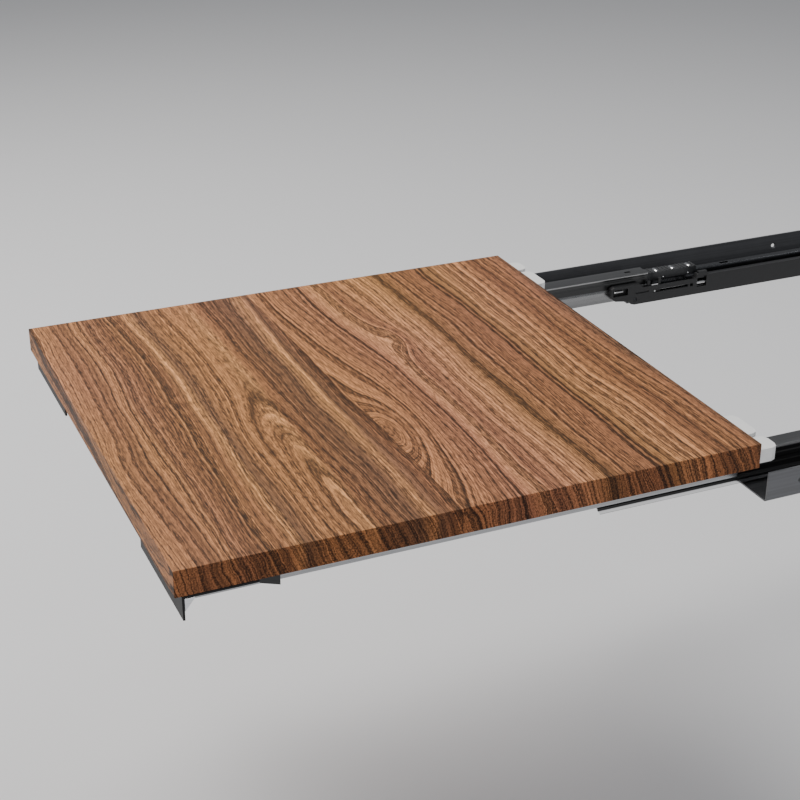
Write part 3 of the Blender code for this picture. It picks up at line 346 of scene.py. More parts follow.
zinc = steel("bright_zinc", (0.74, 0.75, 0.77), 0.20, 0.35, 0.10)
dark_zinc = steel("dark_zinc", (0.075, 0.077, 0.082), 0.28, 0.4, 0.10)
rail_zinc = steel("rail_zinc", (0.40, 0.405, 0.415), 0.27, 0.5, 0.12)
anthracite = steel("anthracite_paint", (0.150, 0.152, 0.160), 0.38, 0.35, 0.12, 0.45)
black_paint = steel("black_paint", (0.0045, 0.0045, 0.005), 0.50, 0.15, 0.08, 0.0, shine=0.28)
hard_steel = steel("hard_steel", (0.62, 0.62, 0.62), 0.14, 0.2, 0.08, 1.0, 0.6)
print("metals:", zinc.name, dark_zinc.name, rail_zinc.name, anthracite.name, black_paint.name)

# %% [markdown]
# ### Zinc with painted reflection
# The intermediate rail looks dark on its flanges and roof, and bright along its feet and the bends
# beside the roof. A real rail is zinc all over, and much of that contrast is what it reflects. A
# plain studio has little dark to reflect, so this finish paints the reflection into its colour:
# painted dark reflection on the flanges and roof, and painted highlights on the feet and bends.
# That is a choice, and from other angles it may look too strong. Each surface is told apart by its
# height in the rail and by its side of the rails' centre line. The rolling lines make the borders
# uneven.


# %% Finish of the intermediate rails
def zinc_with_painted_reflection():
    finish, tree, shader, place = new_finish("zinc_with_painted_reflection", Metallic=1.0)
    spot = place.outputs["Object"]
    lines = use_group(tree, rolled_lines, Place=spot, Fineness=1.0)
    change = use_group(tree, handling_marks, Place=spot, Size=34.0, Amount=0.12)["Change"]
    axes = add_node(tree, "ShaderNodeSeparateXYZ", Vector=spot)
    rise = maths(tree, "SUBTRACT", axes.outputs["Z"], middle_low.z)
    ragged = maths(tree, "MULTIPLY_ADD", lines["Streaks"], 0.8 * MM, -0.4 * MM)
    share = maths(tree, "DIVIDE", maths(tree, "ADD", rise, ragged), middle_high.z - middle_low.z)
    from_middle = maths(tree, "ABSOLUTE", axes.outputs["X"])
    wall_side = maths(tree, "GREATER_THAN", from_middle, abs(rail_centre))

    def by_side(wall_stops, inner_stops):
        node = add_node(tree, "ShaderNodeMix", {"data_type": "RGBA"}, Factor=wall_side)
        plug(tree, ramp(tree, share, inner_stops), node.inputs["A"])
        plug(tree, ramp(tree, share, wall_stops), node.inputs["B"])
        return node.outputs["Result"]

    # These ramp stops paint the reflection into the colour. They give painted dark reflection on the flanges
    # and roof, and painted highlights on the feet and on the bends beside the roof. The paler lower band on
    # the inner side is painted reflection too.
    shade = by_side(
        [(0.0, 0.12), (0.02, 0.94), (0.105, 0.92), (0.13, 0.05), (0.90, 0.06), (0.955, 0.65), (0.985, 0.22)],
        [(0.0, 0.30), (0.40, 0.40), (0.49, 0.34), (0.53, 0.08), (0.90, 0.10), (0.955, 0.65), (0.985, 0.22)],
    )
    uneven = maths(tree, "ADD", maths(tree, "MULTIPLY_ADD", lines["Streaks"], 0.5, -0.25), change)
    grey = ramp(tree, maths(tree, "ADD", uneven, 0.5), [(0.25, 0.66), (0.75, 1.0)])
    colour = add_node(tree, "ShaderNodeMix", {"data_type": "RGBA", "blend_type": "MULTIPLY"}, Factor=1.0)
    plug(tree, shade, colour.inputs["A"])
    plug(tree, grey, colour.inputs["B"])
    tree.links.new(colour.outputs["Result"], shader.inputs["Base Color"])
    gloss = by_side(
        [(0.0, 0.12), (0.105, 0.12), (0.13, 0.34), (1.0, 0.32)],
        [(0.0, 0.24), (0.49, 0.26), (0.53, 0.34), (1.0, 0.32)],
    )
    rough = maths(tree, "MULTIPLY_ADD", lines["Lines"], 0.12, -0.06)
    tree.links.new(maths(tree, "ADD", maths(tree, "ADD", gloss, rough), change), shader.inputs["Roughness"])
    bump(tree, shader, lines["Lines"], 0.4, 0.02 * MM)
    return finish


# Zinc whose light and dark parts are painted reflection, not the metal's own colour.
painted_reflection_zinc = zinc_with_painted_reflection()
print("rail finish:", painted_reflection_zinc.name)


# %% Plastic finishes
def plastic(name, colour, roughness, grain_depth, coat=0.0):
    """Moulded plastic with a tool-etched grain and a slight change of gloss from handling."""
    finish, tree, shader, place = new_finish(name, Metallic=0.0)
    shader.inputs["Coat Weight"].default_value = coat
    spot = place.outputs["Object"]
    change = use_group(tree, handling_marks, Place=spot, Size=55.0, Amount=0.16)["Change"]
    shade = maths(tree, "ADD", change, 0.5)
    dark = tuple(part * 0.8 for part in colour)
    light = tuple(min(part * 1.15, 1.0) for part in colour)
    tree.links.new(ramp(tree, shade, [(0.3, dark), (0.7, light)]), shader.inputs["Base Color"])
    tree.links.new(maths(tree, "ADD", change, roughness), shader.inputs["Roughness"])
    height = use_group(tree, moulded_grain, Place=spot)["Height"]
    bump(tree, shader, height, grain_depth, 0.03 * MM)
    return finish


black_moulding = plastic("black_moulding", (0.014, 0.014, 0.015), 0.36, 0.35)
grey_moulding = plastic("grey_moulding", (0.034, 0.035, 0.037), 0.36, 0.3)
white_moulding = plastic("white_moulding", (0.86, 0.86, 0.85), 0.34, 0.2, 0.2)
print("plastics:", black_moulding.name, grey_moulding.name, white_moulding.name)

# %% [markdown]
# ### Walnut
# A tree grows in rings round its pith. A board cut beside the pith shows the rings as nested arches,
# and a board cut far from it shows nearly straight lines. So the figure is made from one distance:
# how far a point lies from the pith, through the growth rings. Where that distance is equal, the
# wood is alike. The board is two leaves with a straight joint. The front leaf has a tongue of
# arches, and the rear leaf has two small knots that push the rings aside.

# %% Group: ring distance
LEAF_JOINT = -0.0295
JOINT_TILT = 0.022
TONGUE_LINE = -0.112
TONGUE_DEPTHS = (0.030, 0.004)
TONGUE_PLACES = (-0.06, 0.24)
KNOTS = (
    ((0.112, -0.021), (0.052, 0.018), 0.034),
    ((0.075, -0.005), (0.170, 0.050), 0.034),
    ((-0.092, 0.070), (0.036, 0.014), 0.019),
)
RING_TILT = 0.32

ring_distance, given, result = new_group(
    "ring_distance",
    [("Place", "NodeSocketVector", None)],
    [("Distance", "NodeSocketFloat"), ("Across", "NodeSocketFloat")],
)
tree = ring_distance
axes = add_node(tree, "ShaderNodeSeparateXYZ", Vector=given["Place"])
x, y, z = axes.outputs


def wander(scale, reach):
    """A soft noise that shifts the rings by up to half the reach either way."""
    drift = noise(tree, stretched(tree, given["Place"], scale), 1.0, 2.0)
    return maths(tree, "MULTIPLY_ADD", drift, reach, -reach / 2)


bend = wander((2.4, 7, 9), 0.040)
wave = wander((11, 30, 60), 0.0060)
tremble = wander((60, 160, 240), 0.0012)
shift = maths(tree, "ADD", maths(tree, "ADD", bend, wave), tremble)
flat = maths(tree, "ADD", maths(tree, "MULTIPLY_ADD", z, RING_TILT, y), shift)

joint_line = maths(tree, "MULTIPLY_ADD", x, JOINT_TILT, LEAF_JOINT)
rear_leaf = maths(tree, "GREATER_THAN", y, joint_line)

span = add_node(tree, "ShaderNodeMapRange", {"interpolation_type": "SMOOTHSTEP"}, Value=x)
for socket, value in zip(list(span.inputs)[1:5], (*TONGUE_PLACES, *TONGUE_DEPTHS)):
    socket.default_value = value
depth = span.outputs["Result"]
aside = maths(tree, "SUBTRACT", flat, TONGUE_LINE)
squares = maths(tree, "ADD", maths(tree, "MULTIPLY", aside, aside), maths(tree, "MULTIPLY", depth, depth))
arches = maths(tree, "SQRT", squares)

pushed = flat
for (knot_x, knot_y), (reach_x, reach_y), push in KNOTS:
    away_x = maths(tree, "DIVIDE", maths(tree, "SUBTRACT", x, knot_x), reach_x)
    away_y = maths(tree, "DIVIDE", maths(tree, "SUBTRACT", y, knot_y), reach_y)
    square_x, square_y = maths(tree, "MULTIPLY", away_x, away_x), maths(tree, "MULTIPLY", away_y, away_y)
    away = maths(tree, "ADD", square_x, square_y)
    near = maths(tree, "EXPONENT", maths(tree, "MULTIPLY", away, -1.0))
    pushed = maths(tree, "MULTIPLY_ADD", near, -push, pushed)

chosen = add_node(tree, "ShaderNodeMix", {"data_type": "FLOAT"}, Factor=rear_leaf)
plug(tree, arches, chosen.inputs["A"])
plug(tree, maths(tree, "ADD", pushed, 1.7), chosen.inputs["B"])
tree.links.new(chosen.outputs["Result"], result["Distance"])
across = add_node(tree, "ShaderNodeMix", {"data_type": "FLOAT"}, Factor=rear_leaf)
plug(tree, maths(tree, "MULTIPLY_ADD", shift, 0.6, y), across.inputs["A"])
plug(tree, maths(tree, "MAXIMUM", pushed, LEAF_JOINT + 0.006), across.inputs["B"])
tree.links.new(across.outputs["Result"], result["Across"])
print("group:", ring_distance.name, "with", len(KNOTS), "pushes")

# %% [markdown]
# ### Walnut colour
# The colour comes in three layers. Broad streaks of heartwood lie across the board, from pale tan to
# grey-brown. Growth rings are thin dark lines where the ring noise crosses its middle value. Pores
# and flecks are short dashes along the grain, which show as dots on the end grain because the noise
# is stretched along X only.

# %% Streaks of heartwood
PALE = (0.600, 0.282, 0.126)
TAN = (0.440, 0.196, 0.087)
ROSY = (0.395, 0.172, 0.086)
UMBER = (0.300, 0.129, 0.061)
GREY = (0.215, 0.103, 0.057)
OLIVE = (0.300, 0.143, 0.056)
STREAKS = (
    (-0.275, TAN),
    (-0.255, UMBER),
    (-0.232, TAN),
    (-0.225, ROSY),
    (-0.205, UMBER),
    (-0.198, TAN),
    (-0.184, UMBER),
    (-0.172, PALE),
    (-0.166, GREY),
    (-0.150, TAN),
    (-0.120, TAN),
    (-0.106, PALE),
    (-0.098, UMBER),
    (-0.062, GREY),
    (-0.050, PALE),
    (-0.043, GREY),
    (-0.030, UMBER),
    (-0.024, TAN),
    (0.028, ROSY),
    (0.045, PALE),
    (0.060, ROSY),
    (0.098, PALE),
    (0.118, OLIVE),
    (0.140, TAN),
    (0.168, UMBER),
    (0.182, OLIVE),
    (0.200, PALE),
    (0.226, TAN),
    (0.240, UMBER),
    (0.250, TAN),
    (0.268, ROSY),
    (0.276, GREY),
)


def walnut_finish():
    finish, tree, shader, place = new_finish("oiled_walnut", Metallic=0.0)
    spot = place.outputs["Object"]
    rings = use_group(tree, ring_distance, Place=spot)

    def along_rings(per_metre, detail):
        node = add_node(tree, "ShaderNodeTexNoise", {"noise_dimensions": "1D"}, Detail=detail, Roughness=0.6)
        node.inputs["Scale"].default_value = 1.0
        plug(tree, maths(tree, "MULTIPLY", rings["Distance"], per_metre), node.inputs["W"])
        return node.outputs["Fac"]

    def tint(base, layer, amount, kind="MULTIPLY"):
        node = add_node(tree, "ShaderNodeMix", {"data_type": "RGBA", "blend_type": kind})
        plug(tree, amount, node.inputs["Factor"])
        plug(tree, base, node.inputs["A"])
        plug(tree, layer, node.inputs["B"])
        return node.outputs["Result"]

    middle = (board_low.y + board_high.y) / 2
    depth = board_high.y - board_low.y
    share = maths(tree, "MULTIPLY_ADD", rings["Across"], 1 / depth, 0.5 - middle / depth)
    broad = ramp(tree, share, [((line - middle) / depth + 0.5, tone) for line, tone in STREAKS])

    medium = along_rings(190, 3)
    colour = tint(broad, ramp(tree, medium, [(0.36, 0.55), (0.50, 1.0), (0.62, 1.30)]), 0.72)

    flecks = noise(tree, stretched(tree, spot, (70, 560, 560)), 1.0, 3.0, 0.7)
    pores = noise(tree, stretched(tree, spot, (150, 1100, 1100)), 1.0, 2.0)
    rough_edge = maths(tree, "MULTIPLY_ADD", flecks, 0.16, -0.08)

    def ring_lines(per_metre, start, end, darkest):
        """Dark lines where the ring noise crosses its middle value, broken up by the flecks."""
        off = maths(tree, "ABSOLUTE", maths(tree, "SUBTRACT", along_rings(per_metre, 2), 0.5))
        return ramp(tree, maths(tree, "ADD", off, rough_edge), [(start, darkest), (end, 1.0)])

    line = ring_lines(105, 0.005, 0.065, 0.20)
    colour = tint(colour, line, 0.90)
    colour = tint(colour, ring_lines(235, 0.01, 0.090, 0.42), 0.75)
    colour = tint(colour, ramp(tree, flecks, [(0.36, 0.44), (0.49, 1.04), (0.62, 1.50)]), 0.70)
    pore = ramp(tree, pores, [(0.34, 0.25), (0.44, 1.0)])
    colour = tint(colour, pore, 0.6)

    warmth = noise(tree, stretched(tree, spot, (2.0, 3.2, 3.2)), 1.0, 1.0)
    colour = tint(colour, ramp(tree, warmth, [(0.38, (1.0, 0.97, 1.02)), (0.62, (1.0, 1.0, 0.84))]), 1.0)
    # Faces across the grain are tinted darker. End grain is darker wood, and this tint also paints shade onto
    # those edges.
    facing = add_node(tree, "ShaderNodeSeparateXYZ", Vector=place.outputs["Normal"])
    end_grain_and_shade = maths(tree, "ABSOLUTE", facing.outputs["X"])
    colour = tint(colour, (0.72, 0.62, 0.56, 1), end_grain_and_shade)
    tree.links.new(colour, shader.inputs["Base Color"])

    change = use_group(tree, handling_marks, Place=spot, Size=9.0, Amount=0.12)["Change"]
    gloss = maths(tree, "MULTIPLY_ADD", flecks, 0.18, 0.46)
    tree.links.new(maths(tree, "ADD", gloss, change), shader.inputs["Roughness"])
    ridges = maths(tree, "ADD", flecks, maths(tree, "MULTIPLY", line, 0.5))
    height = maths(tree, "MULTIPLY_ADD", pore, 0.6, ridges)
    bump(tree, shader, height, 0.55, 0.16 * MM)
    shader.inputs["Specular IOR Level"].default_value = 0.16
    return finish


walnut = walnut_finish()
board = frame["nodes"]["worktop_board"]
board.data.materials.clear()
board.data.materials.append(walnut)
print("board:", [round(part, 3) for part in board_high - board_low])

# %% [markdown]
# ## Making pieces
# Each slide part is modelled once for the left and mirrored for the right. A mirrored mesh is inside
# out, so its faces are turned round again. Small parts whose shape is right in the frame are copied
# from it: the copy's loose triangles are merged, its flat faces are made whole, and its edges are
# rounded, because no moulded or folded edge is truly sharp.


# %% Piece helpers
def finished_piece(name, shape, finish, body, stands_for, bevel=0.0, segments=2):
    mesh = bpy.data.meshes.new(name)
    shape.to_mesh(mesh)
    shape.free()
    mesh.materials.append(finish)
    mesh.shade_smooth()
    mesh.set_sharp_from_angle(angle=math.radians(33))
    piece = bpy.data.objects.new(name, mesh)
    bpy.context.scene.collection.objects.link(piece)
    if bevel:
        rounding = piece.modifiers.new("rounded edges", "BEVEL")
        rounding.width = bevel
        rounding.segments = segments
        rounding.limit_method = "ANGLE"
        rounding.angle_limit = math.radians(33)
        rounding.harden_normals = True
    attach(piece, body)
    if stands_for:
        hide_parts(*stands_for)
    return piece


def both_sides(name, make, finish, body, stands_for, bevel=0.0, segments=2):
    """The left piece and its mirror image on the right."""
    pieces = []
    for label in ("left", "right"):
        shape = make()
        if label == "right":
            bmesh.ops.scale(shape, vec=(-1, 1, 1), verts=shape.verts)
            bmesh.ops.reverse_faces(shape, faces=shape.faces)
        carrier = body if body in frame["bodies"] else f"{body}_{label}"
        nodes = [f"{node}_{label}" for node in stands_for]
        pieces.append(finished_piece(f"{name}_{label}", shape, finish, carrier, nodes, bevel, segments))
    triangles = sum(len(face.vertices) - 2 for face in pieces[0].data.polygons)
    print(f"{name}: {triangles} triangles before rounding")
    return pieces


def from_frame(node):
    """A merged copy of a frame node, with its flat faces made whole."""
    shape = bmesh.new()
    shape.from_mesh(frame["nodes"][node].data)
    bmesh.ops.remove_doubles(shape, verts=shape.verts, dist=0.12 * MM)
    bmesh.ops.dissolve_limit(shape, angle_limit=math.radians(1), verts=shape.verts, edges=shape.edges)
    return shape


def softened(node, name, finish, body, bevel, segments=2):
    """Both sides of a small part as the frame has it, with rounded edges."""
    for label in ("left", "right"):
        carrier = body if body in frame["bodies"] else f"{body}_{label}"
        shape = from_frame(f"{node}_{label}")
        finished_piece(f"{name}_{label}", shape, finish, carrier, [f"{node}_{label}"], bevel, segments)
    print(f"{name}: rounded by {bevel / MM:.2f} mm")


def box_shape(low, high):
    shape = bmesh.new()
    bmesh.ops.create_cube(shape, size=1)
    low, high = Vector(low), Vector(high)
    bmesh.ops.scale(shape, vec=high - low, verts=shape.verts)
    bmesh.ops.translate(shape, vec=(low + high) / 2, verts=shape.verts)
    return shape


def cut(shape, cutters, operation="DIFFERENCE"):
    """The shape with each cutter taken out of it, or joined to it by a UNION."""
    scene = bpy.context.scene
    holders = []
    for made in [shape, *cutters]:
        mesh = bpy.data.meshes.new("working")
        made.to_mesh(mesh)
        made.free()
        holder = bpy.data.objects.new("working", mesh)
        scene.collection.objects.link(holder)
        holders.append(holder)
    for cutter in holders[1:]:
        change = holders[0].modifiers.new("cut", "BOOLEAN")
        change.operation = operation
        change.solver = "EXACT"
        change.object = cutter
    bpy.context.view_layer.update()
    result = bmesh.new()
    result.from_mesh(holders[0].evaluated_get(bpy.context.evaluated_depsgraph_get()).data)
    for holder in holders:
        mesh = holder.data
        bpy.data.objects.remove(holder, do_unlink=True)
        bpy.data.meshes.remove(mesh)
    return result


def joined(shapes):
    """Several shapes in one, for pieces made of parts that touch."""
    whole = bmesh.new()
    for shape in shapes:
        mesh = bpy.data.meshes.new("joined")
        shape.to_mesh(mesh)
        shape.free()
        whole.from_mesh(mesh)
        bpy.data.meshes.remove(mesh)
    return whole


def round_bar(start, end, radius, segments=24):
    shape = bmesh.new()
    start, end = Vector(start), Vector(end)
    turn = (end - start).to_track_quat("Z", "Y").to_matrix().to_4x4()
    bmesh.ops.create_cone(
        shape,
        cap_ends=True,
        segments=segments,
        radius1=radius,
        radius2=radius,
        depth=(end - start).length,
        matrix=Matrix.Translation((start + end) / 2) @ turn,
    )
    return shape


def round_rims(bar, offset, segments):
    """Round the rims of a bar's flat ends."""
    rims = [edge for edge in bar.edges if any(len(face.verts) > 4 for face in edge.link_faces)]
    bmesh.ops.bevel(
        bar,
        geom=rims,
        offset=offset,
        offset_type="OFFSET",
        segments=segments,
        profile=0.5,
        affect="EDGES",
        material=-1,
    )
    return bar


def spun(outline, steps):
    """A closed shape round Z from its half outline of (radius, height) points."""
    shape = bmesh.new()
    line = [shape.verts.new((radius, 0, height)) for radius, height in outline]
    edges = [shape.edges.new(pair) for pair in zip(line, line[1:])]
    bmesh.ops.spin(
        shape,
        geom=line + edges,
        cent=(0, 0, 0),
        axis=(0, 0, 1),
        angle=math.tau,
        steps=steps,
        use_merge=True,
        dvec=(0, 0, 0),
    )
    bmesh.ops.remove_doubles(shape, verts=shape.verts, dist=0.001 * MM)
    bmesh.ops.recalc_face_normals(shape, faces=shape.faces)
    return shape


# %% [markdown]
# ## Folded rails
# A rail starts as the line of its cross-section. The line is drawn out along Y into a thin skin, the
# fold edges are bevelled into round bends, and the skin gets the sheet's thickness. That is how
# the press brake makes it too, and it keeps the sheet equally thick round every bend.


# %% Fold a sheet
def folded_sheet(path, thickness, ends, bend, segments=5):
    """A sheet whose middle follows the (in, z) path, with its fold lines rounded."""
    shape = bmesh.new()
    line = [shape.verts.new((wall + inward, ends[0], height)) for inward, height in path]
    edges = [shape.edges.new(pair) for pair in zip(line, line[1:])]
    grown = bmesh.ops.extrude_edge_only(shape, edges=edges)["geom"]
    far = [item for item in grown if isinstance(item, bmesh.types.BMVert)]
    bmesh.ops.translate(shape, verts=far, vec=(0, ends[1] - ends[0], 0))
    folds = [edge for edge in shape.edges if len(edge.link_faces) == 2]
    bmesh.ops.bevel(
        shape,
        geom=folds,
        offset=bend,
        offset_type="OFFSET",
        segments=segments,
        profile=0.5,
        affect="EDGES",
        clamp_overlap=True,
        material=-1,
    )
    bmesh.ops.recalc_face_normals(shape, faces=shape.faces)
    for vert in shape.verts:
        vert.normal_update()
    middle = [(vert, vert.co - vert.normal * thickness / 2) for vert in shape.verts]
    for vert, place in middle:
        vert.co = place
    bmesh.ops.solidify(shape, geom=shape.faces[:], thickness=-thickness)
    bmesh.ops.recalc_face_normals(shape, faces=shape.faces)
    return shape


centre_in = rail_centre - wall
SHEET = 1.5 * MM
ANGLE_SHEET = 1.8 * MM
RACE_DEPTH = 0.6 * MM
BALL_DROPS = (5 * MM, 14.5 * MM)


def race(inward, height, depth):
    """A ball race pressed into a flange, from its upper end to its lower one."""
    return [
        (inward, height + 3 * MM),
        (inward + depth, height + 1.9 * MM),
        (inward + depth, height - 1.9 * MM),
        (inward, height - 3 * MM),
    ]


# %% [markdown]
# ### Intermediate rail
# The rail that shows most. Its feet flare outwards and the balls run in shallow races pressed into
# its flanges. Its front corner is cut at a slant, and two small windows go through its roof.


# %% Make the intermediate rails
def intermediate_rail():
    half = 9.25 * MM
    roof = middle_high.z - SHEET / 2
    foot = middle_low.z
    outer, inner = centre_in - half, centre_in + half
    outer_side = [(outer, roof)]
    for drop in BALL_DROPS:
        outer_side += race(outer, middle_high.z - drop, RACE_DEPTH)
    outer_side += [(outer, foot + 7.1 * MM), (outer - 3.2 * MM, foot + 5.5 * MM), (outer - 3.2 * MM, foot)]
    inner_side = [(inner, roof), *race(inner, middle_high.z - BALL_DROPS[0], -RACE_DEPTH)]
    inner_side += [(inner, foot + 15.1 * MM), (inner + 1.2 * MM, foot + 13.5 * MM), (inner + 1.2 * MM, foot)]
    shape = folded_sheet(outer_side[::-1] + inner_side, SHEET, (middle_low.y, middle_high.y), 1.1 * MM, 4)
    slant = bmesh.new()
    corner = [(-5, 11), (6, -5), (-5, -5)]
    start = wall + centre_in - 16 * MM
    sheet = [slant.verts.new((start, middle_low.y + y * MM, foot + up * MM)) for y, up in corner]
    grown = bmesh.ops.extrude_face_region(slant, geom=[slant.faces.new(sheet)])["geom"]
    far = [item for item in grown if isinstance(item, bmesh.types.BMVert)]
    bmesh.ops.translate(slant, verts=far, vec=(32 * MM, 0, 0))
    bmesh.ops.recalc_face_normals(slant, faces=slant.faces)
    windows = []
    for place in (0.05, 0.93):
        y = middle_low.y + (middle_high.y - middle_low.y) * place
        x = wall + centre_in
        windows.append(
            box_shape((x - 2 * MM, y - 4 * MM, roof - 3 * MM), (x + 2 * MM, y + 4 * MM, roof + 3 * MM))
        )
    return cut(shape, [slant, *windows])


both_sides(
    "intermediate_member",
    intermediate_rail,
    painted_reflection_zinc,
    "intermediate",
    ["intermediate_rail"],
    0.18 * MM,
)

# %% [markdown]
# ### Drawer rail
# The rail under the board. Two lugs on its inner side take the screws, and a notch at its front
# takes the release lever's hook.


# %% Make the drawer rails
def drawer_rail():
    half = 13.75 * MM
    roof = drawer_high.z - SHEET / 2
    path = [
        (centre_in - half, drawer_low.z),
        (centre_in - half, roof),
        (centre_in + half, roof),
        (centre_in + half, drawer_high.z - 11.2 * MM),
    ]
    shape = folded_sheet(path, SHEET, (drawer_low.y, drawer_high.y), 1.3 * MM, 5)
    lugs = []
    holes = []
    for name in ("rail_screw_front_left", "rail_screw_rear_left"):
        low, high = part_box(name)
        x, y = (low.x + high.x) / 2, (low.y + high.y) / 2
        start = wall + centre_in + half
        lugs.append(
            box_shape(
                (start - 4 * MM, y - 11 * MM, drawer_high.z - SHEET),
                (drawer_high.x, y + 11 * MM, drawer_high.z),
            )
        )
        holes.append(round_bar((x, y, drawer_high.z - 5 * MM), (x, y, drawer_high.z + 5 * MM), 2.3 * MM))
    lever_low, lever_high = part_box("release_lever_left")
    hook_y = lever_low.y + 3 * MM
    notch = box_shape(
        (wall + centre_in - half - 4 * MM, hook_y - 4.5 * MM, lever_low.z - 1 * MM),
        (wall + centre_in - half + 2 * MM, hook_y + 4.5 * MM, lever_high.z + 0.4 * MM),
    )
    whole = cut(shape, lugs, "UNION")
    return cut(whole, [notch, *holes])


both_sides("drawer_member", drawer_rail, rail_zinc, "pull_out_board", ["drawer_rail"], 0.16 * MM)

# %% [markdown]
# ### Mounting angle and running rail
# The angle screws to the cabinet wall and its shelf carries the running rail, a square tube that the
# rollers run on. The angle is painted anthracite and has countersunk screw holes. The rail is dark
# zinc, with three slots in its top.


# %% Make the mounting angles
WALL_HOLE_PLACES = (37, 389, 517)  # millimetres from the angle's front end


def mounting_angle():
    half = ANGLE_SHEET / 2
    shelf = angle_low.z + half
    path = [(half, angle_high.z), (half, shelf), (angle_high.x - wall, shelf)]
    shape = folded_sheet(path, ANGLE_SHEET, (angle_low.y, angle_high.y), 2.6 * MM, 7)
    notch = box_shape(
        (wall + centre_in - 4 * MM, angle_low.y - 5 * MM, shelf - 5 * MM),
        (angle_high.x + 5 * MM, housing_low.y + 25 * MM, shelf + 5 * MM),
    )
    cutters = [notch]
    z = (angle_high.z + angle_low.z + ANGLE_SHEET) / 2
    for place in WALL_HOLE_PLACES:
        y = angle_low.y + place * MM
        cutters.append(round_bar((wall - 5 * MM, y, z), (wall + 5 * MM, y, z), 2.3 * MM))
        sink = bmesh.new()
        bmesh.ops.create_cone(
            sink,
            cap_ends=True,
            segments=28,
            radius1=2.0 * MM,
            radius2=4.6 * MM,
            depth=1.8 * MM,
            matrix=Matrix.Translation((wall + 1.3 * MM, y, z)) @ Matrix.Rotation(math.radians(90), 4, "Y"),
        )
        cutters.append(sink)
    return cut(shape, cutters)


both_sides(
    "wall_angle", mounting_angle, anthracite, "cabinet_members", ["mounting_angle"], 0.2 * MM
)


# %% Make the running rails
def running_rail():
    shape = box_shape(running_low, running_high)
    long_edges = [edge for edge in shape.edges if abs(edge.verts[0].co.y - edge.verts[1].co.y) > 0.1]
    bmesh.ops.bevel(
        shape,
        geom=long_edges,
        offset=1.8 * MM,
        offset_type="OFFSET",
        segments=5,
        profile=0.5,
        affect="EDGES",
        material=-1,
    )
    bore = box_shape(
        (running_low.x + SHEET, running_low.y - 5 * MM, running_low.z + SHEET),
        (running_high.x - SHEET, running_high.y + 5 * MM, running_high.z - SHEET),
    )
    slots = []
    for place in (0.06, 0.52, 0.80):
        y = running_low.y + (running_high.y - running_low.y) * place
        slots.append(
            box_shape(
                (rail_centre - 2 * MM, y - 6 * MM, running_high.z - 4 * MM),
                (rail_centre + 2 * MM, y + 6 * MM, running_high.z + 4 * MM),
            )
        )
    return cut(shape, [bore, *slots])


both_sides(
    "running_member", running_rail, dark_zinc, "cabinet_members", ["running_rail"], 0.18 * MM
)

# %% [markdown]
# ## Roller and ball cages
# The outer cage is a moulded plate between the running rail and the intermediate rail's roof. Steel
# rollers lie across it in windows, with moulded ribs between them, and balls sit in its skirts.
# The rollers and balls are separate pieces that ride with the cage.


# %% Make the roller cages
ROLLERS = 9
ROLLER_END = 8 * MM
RIB_PITCH = 5 * MM


def roller_places():
    pitch = (cage_high.y - cage_low.y - 2 * ROLLER_END) / (ROLLERS - 1)
    return [cage_low.y + ROLLER_END + index * pitch for index in range(ROLLERS)]


def roller_cage():
    plate_low = middle_high.z - SHEET - 3.1 * MM - 1.6 * MM
    plate_high = plate_low + 3.2 * MM
    edge = 7 * MM
    plate = box_shape(
        (rail_centre - edge, cage_low.y, plate_low), (rail_centre + edge, cage_high.y, plate_high)
    )
    skirts = [
        box_shape(
            (min(rail_centre + way * 5.8 * MM, rail_centre + way * edge), cage_low.y, cage_low.z),
            (max(rail_centre + way * 5.8 * MM, rail_centre + way * edge), cage_high.y, plate_high - 1 * MM),
        )
        for way in (-1, 1)
    ]
    windows = [
        box_shape(
            (rail_centre - 5.2 * MM, y - 3.3 * MM, plate_low - 3 * MM),
            (rail_centre + 5.2 * MM, y + 3.3 * MM, plate_high + 3 * MM),
        )
        for y in roller_places()
    ]
    whole = cut(plate, skirts, "UNION")
    ribs = []
    count = int((cage_high.y - cage_low.y) / RIB_PITCH)
    for index in range(count):
        y = cage_low.y + (index + 0.5) * RIB_PITCH
        if min(abs(y - place) for place in roller_places()) > 4.4 * MM:
            ribs.append(
                box_shape(
                    (rail_centre - 6.6 * MM, y - 0.9 * MM, plate_high - 0.5 * MM),
                    (rail_centre + 6.6 * MM, y + 0.9 * MM, plate_high + 0.9 * MM),
                )
            )
    return cut(cut(whole, ribs, "UNION"), windows)


def rollers():
    shapes = []
    z = middle_high.z - SHEET - 3.1 * MM
    for y in roller_places():
        bar = round_bar((rail_centre - 4.8 * MM, y, z), (rail_centre + 4.8 * MM, y, z), 2.9 * MM, 28)
        shapes.append(round_rims(bar, 0.4 * MM, 2))
    return joined(shapes)


both_sides(
    "roller_cage", roller_cage, grey_moulding, "outer_ball_cage", ["outer_cage"], 0.2 * MM
)
both_sides("load_rollers", rollers, hard_steel, "outer_ball_cage", [])


# %% Make the balls
BALLS = 6


def ball_set(low, high, offsets, heights):
    shapes = []
    pitch = (high.y - low.y - 24 * MM) / (BALLS - 1)
    for offset, height in zip(offsets, heights):
        for index in range(BALLS):
            ball = bmesh.new()
            place = Matrix.Translation((rail_centre + offset, low.y + 12 * MM + index * pitch, height))
            bmesh.ops.create_uvsphere(ball, u_segments=20, v_segments=12, radius=1.4 * MM, matrix=place)
            shapes.append(ball)
    return joined(shapes)


def outer_balls():
    height = running_high.z - 2.6 * MM
    return ball_set(cage_low, cage_high, (-7 * MM, 7 * MM), (height, height))


def inner_balls():
    upper, lower = (middle_high.z - drop for drop in BALL_DROPS)
    offsets = (-11.5 * MM, 11.5 * MM, -11.5 * MM)
    return ball_set(inner_cage_low, inner_cage_high, offsets, (upper, upper, lower))


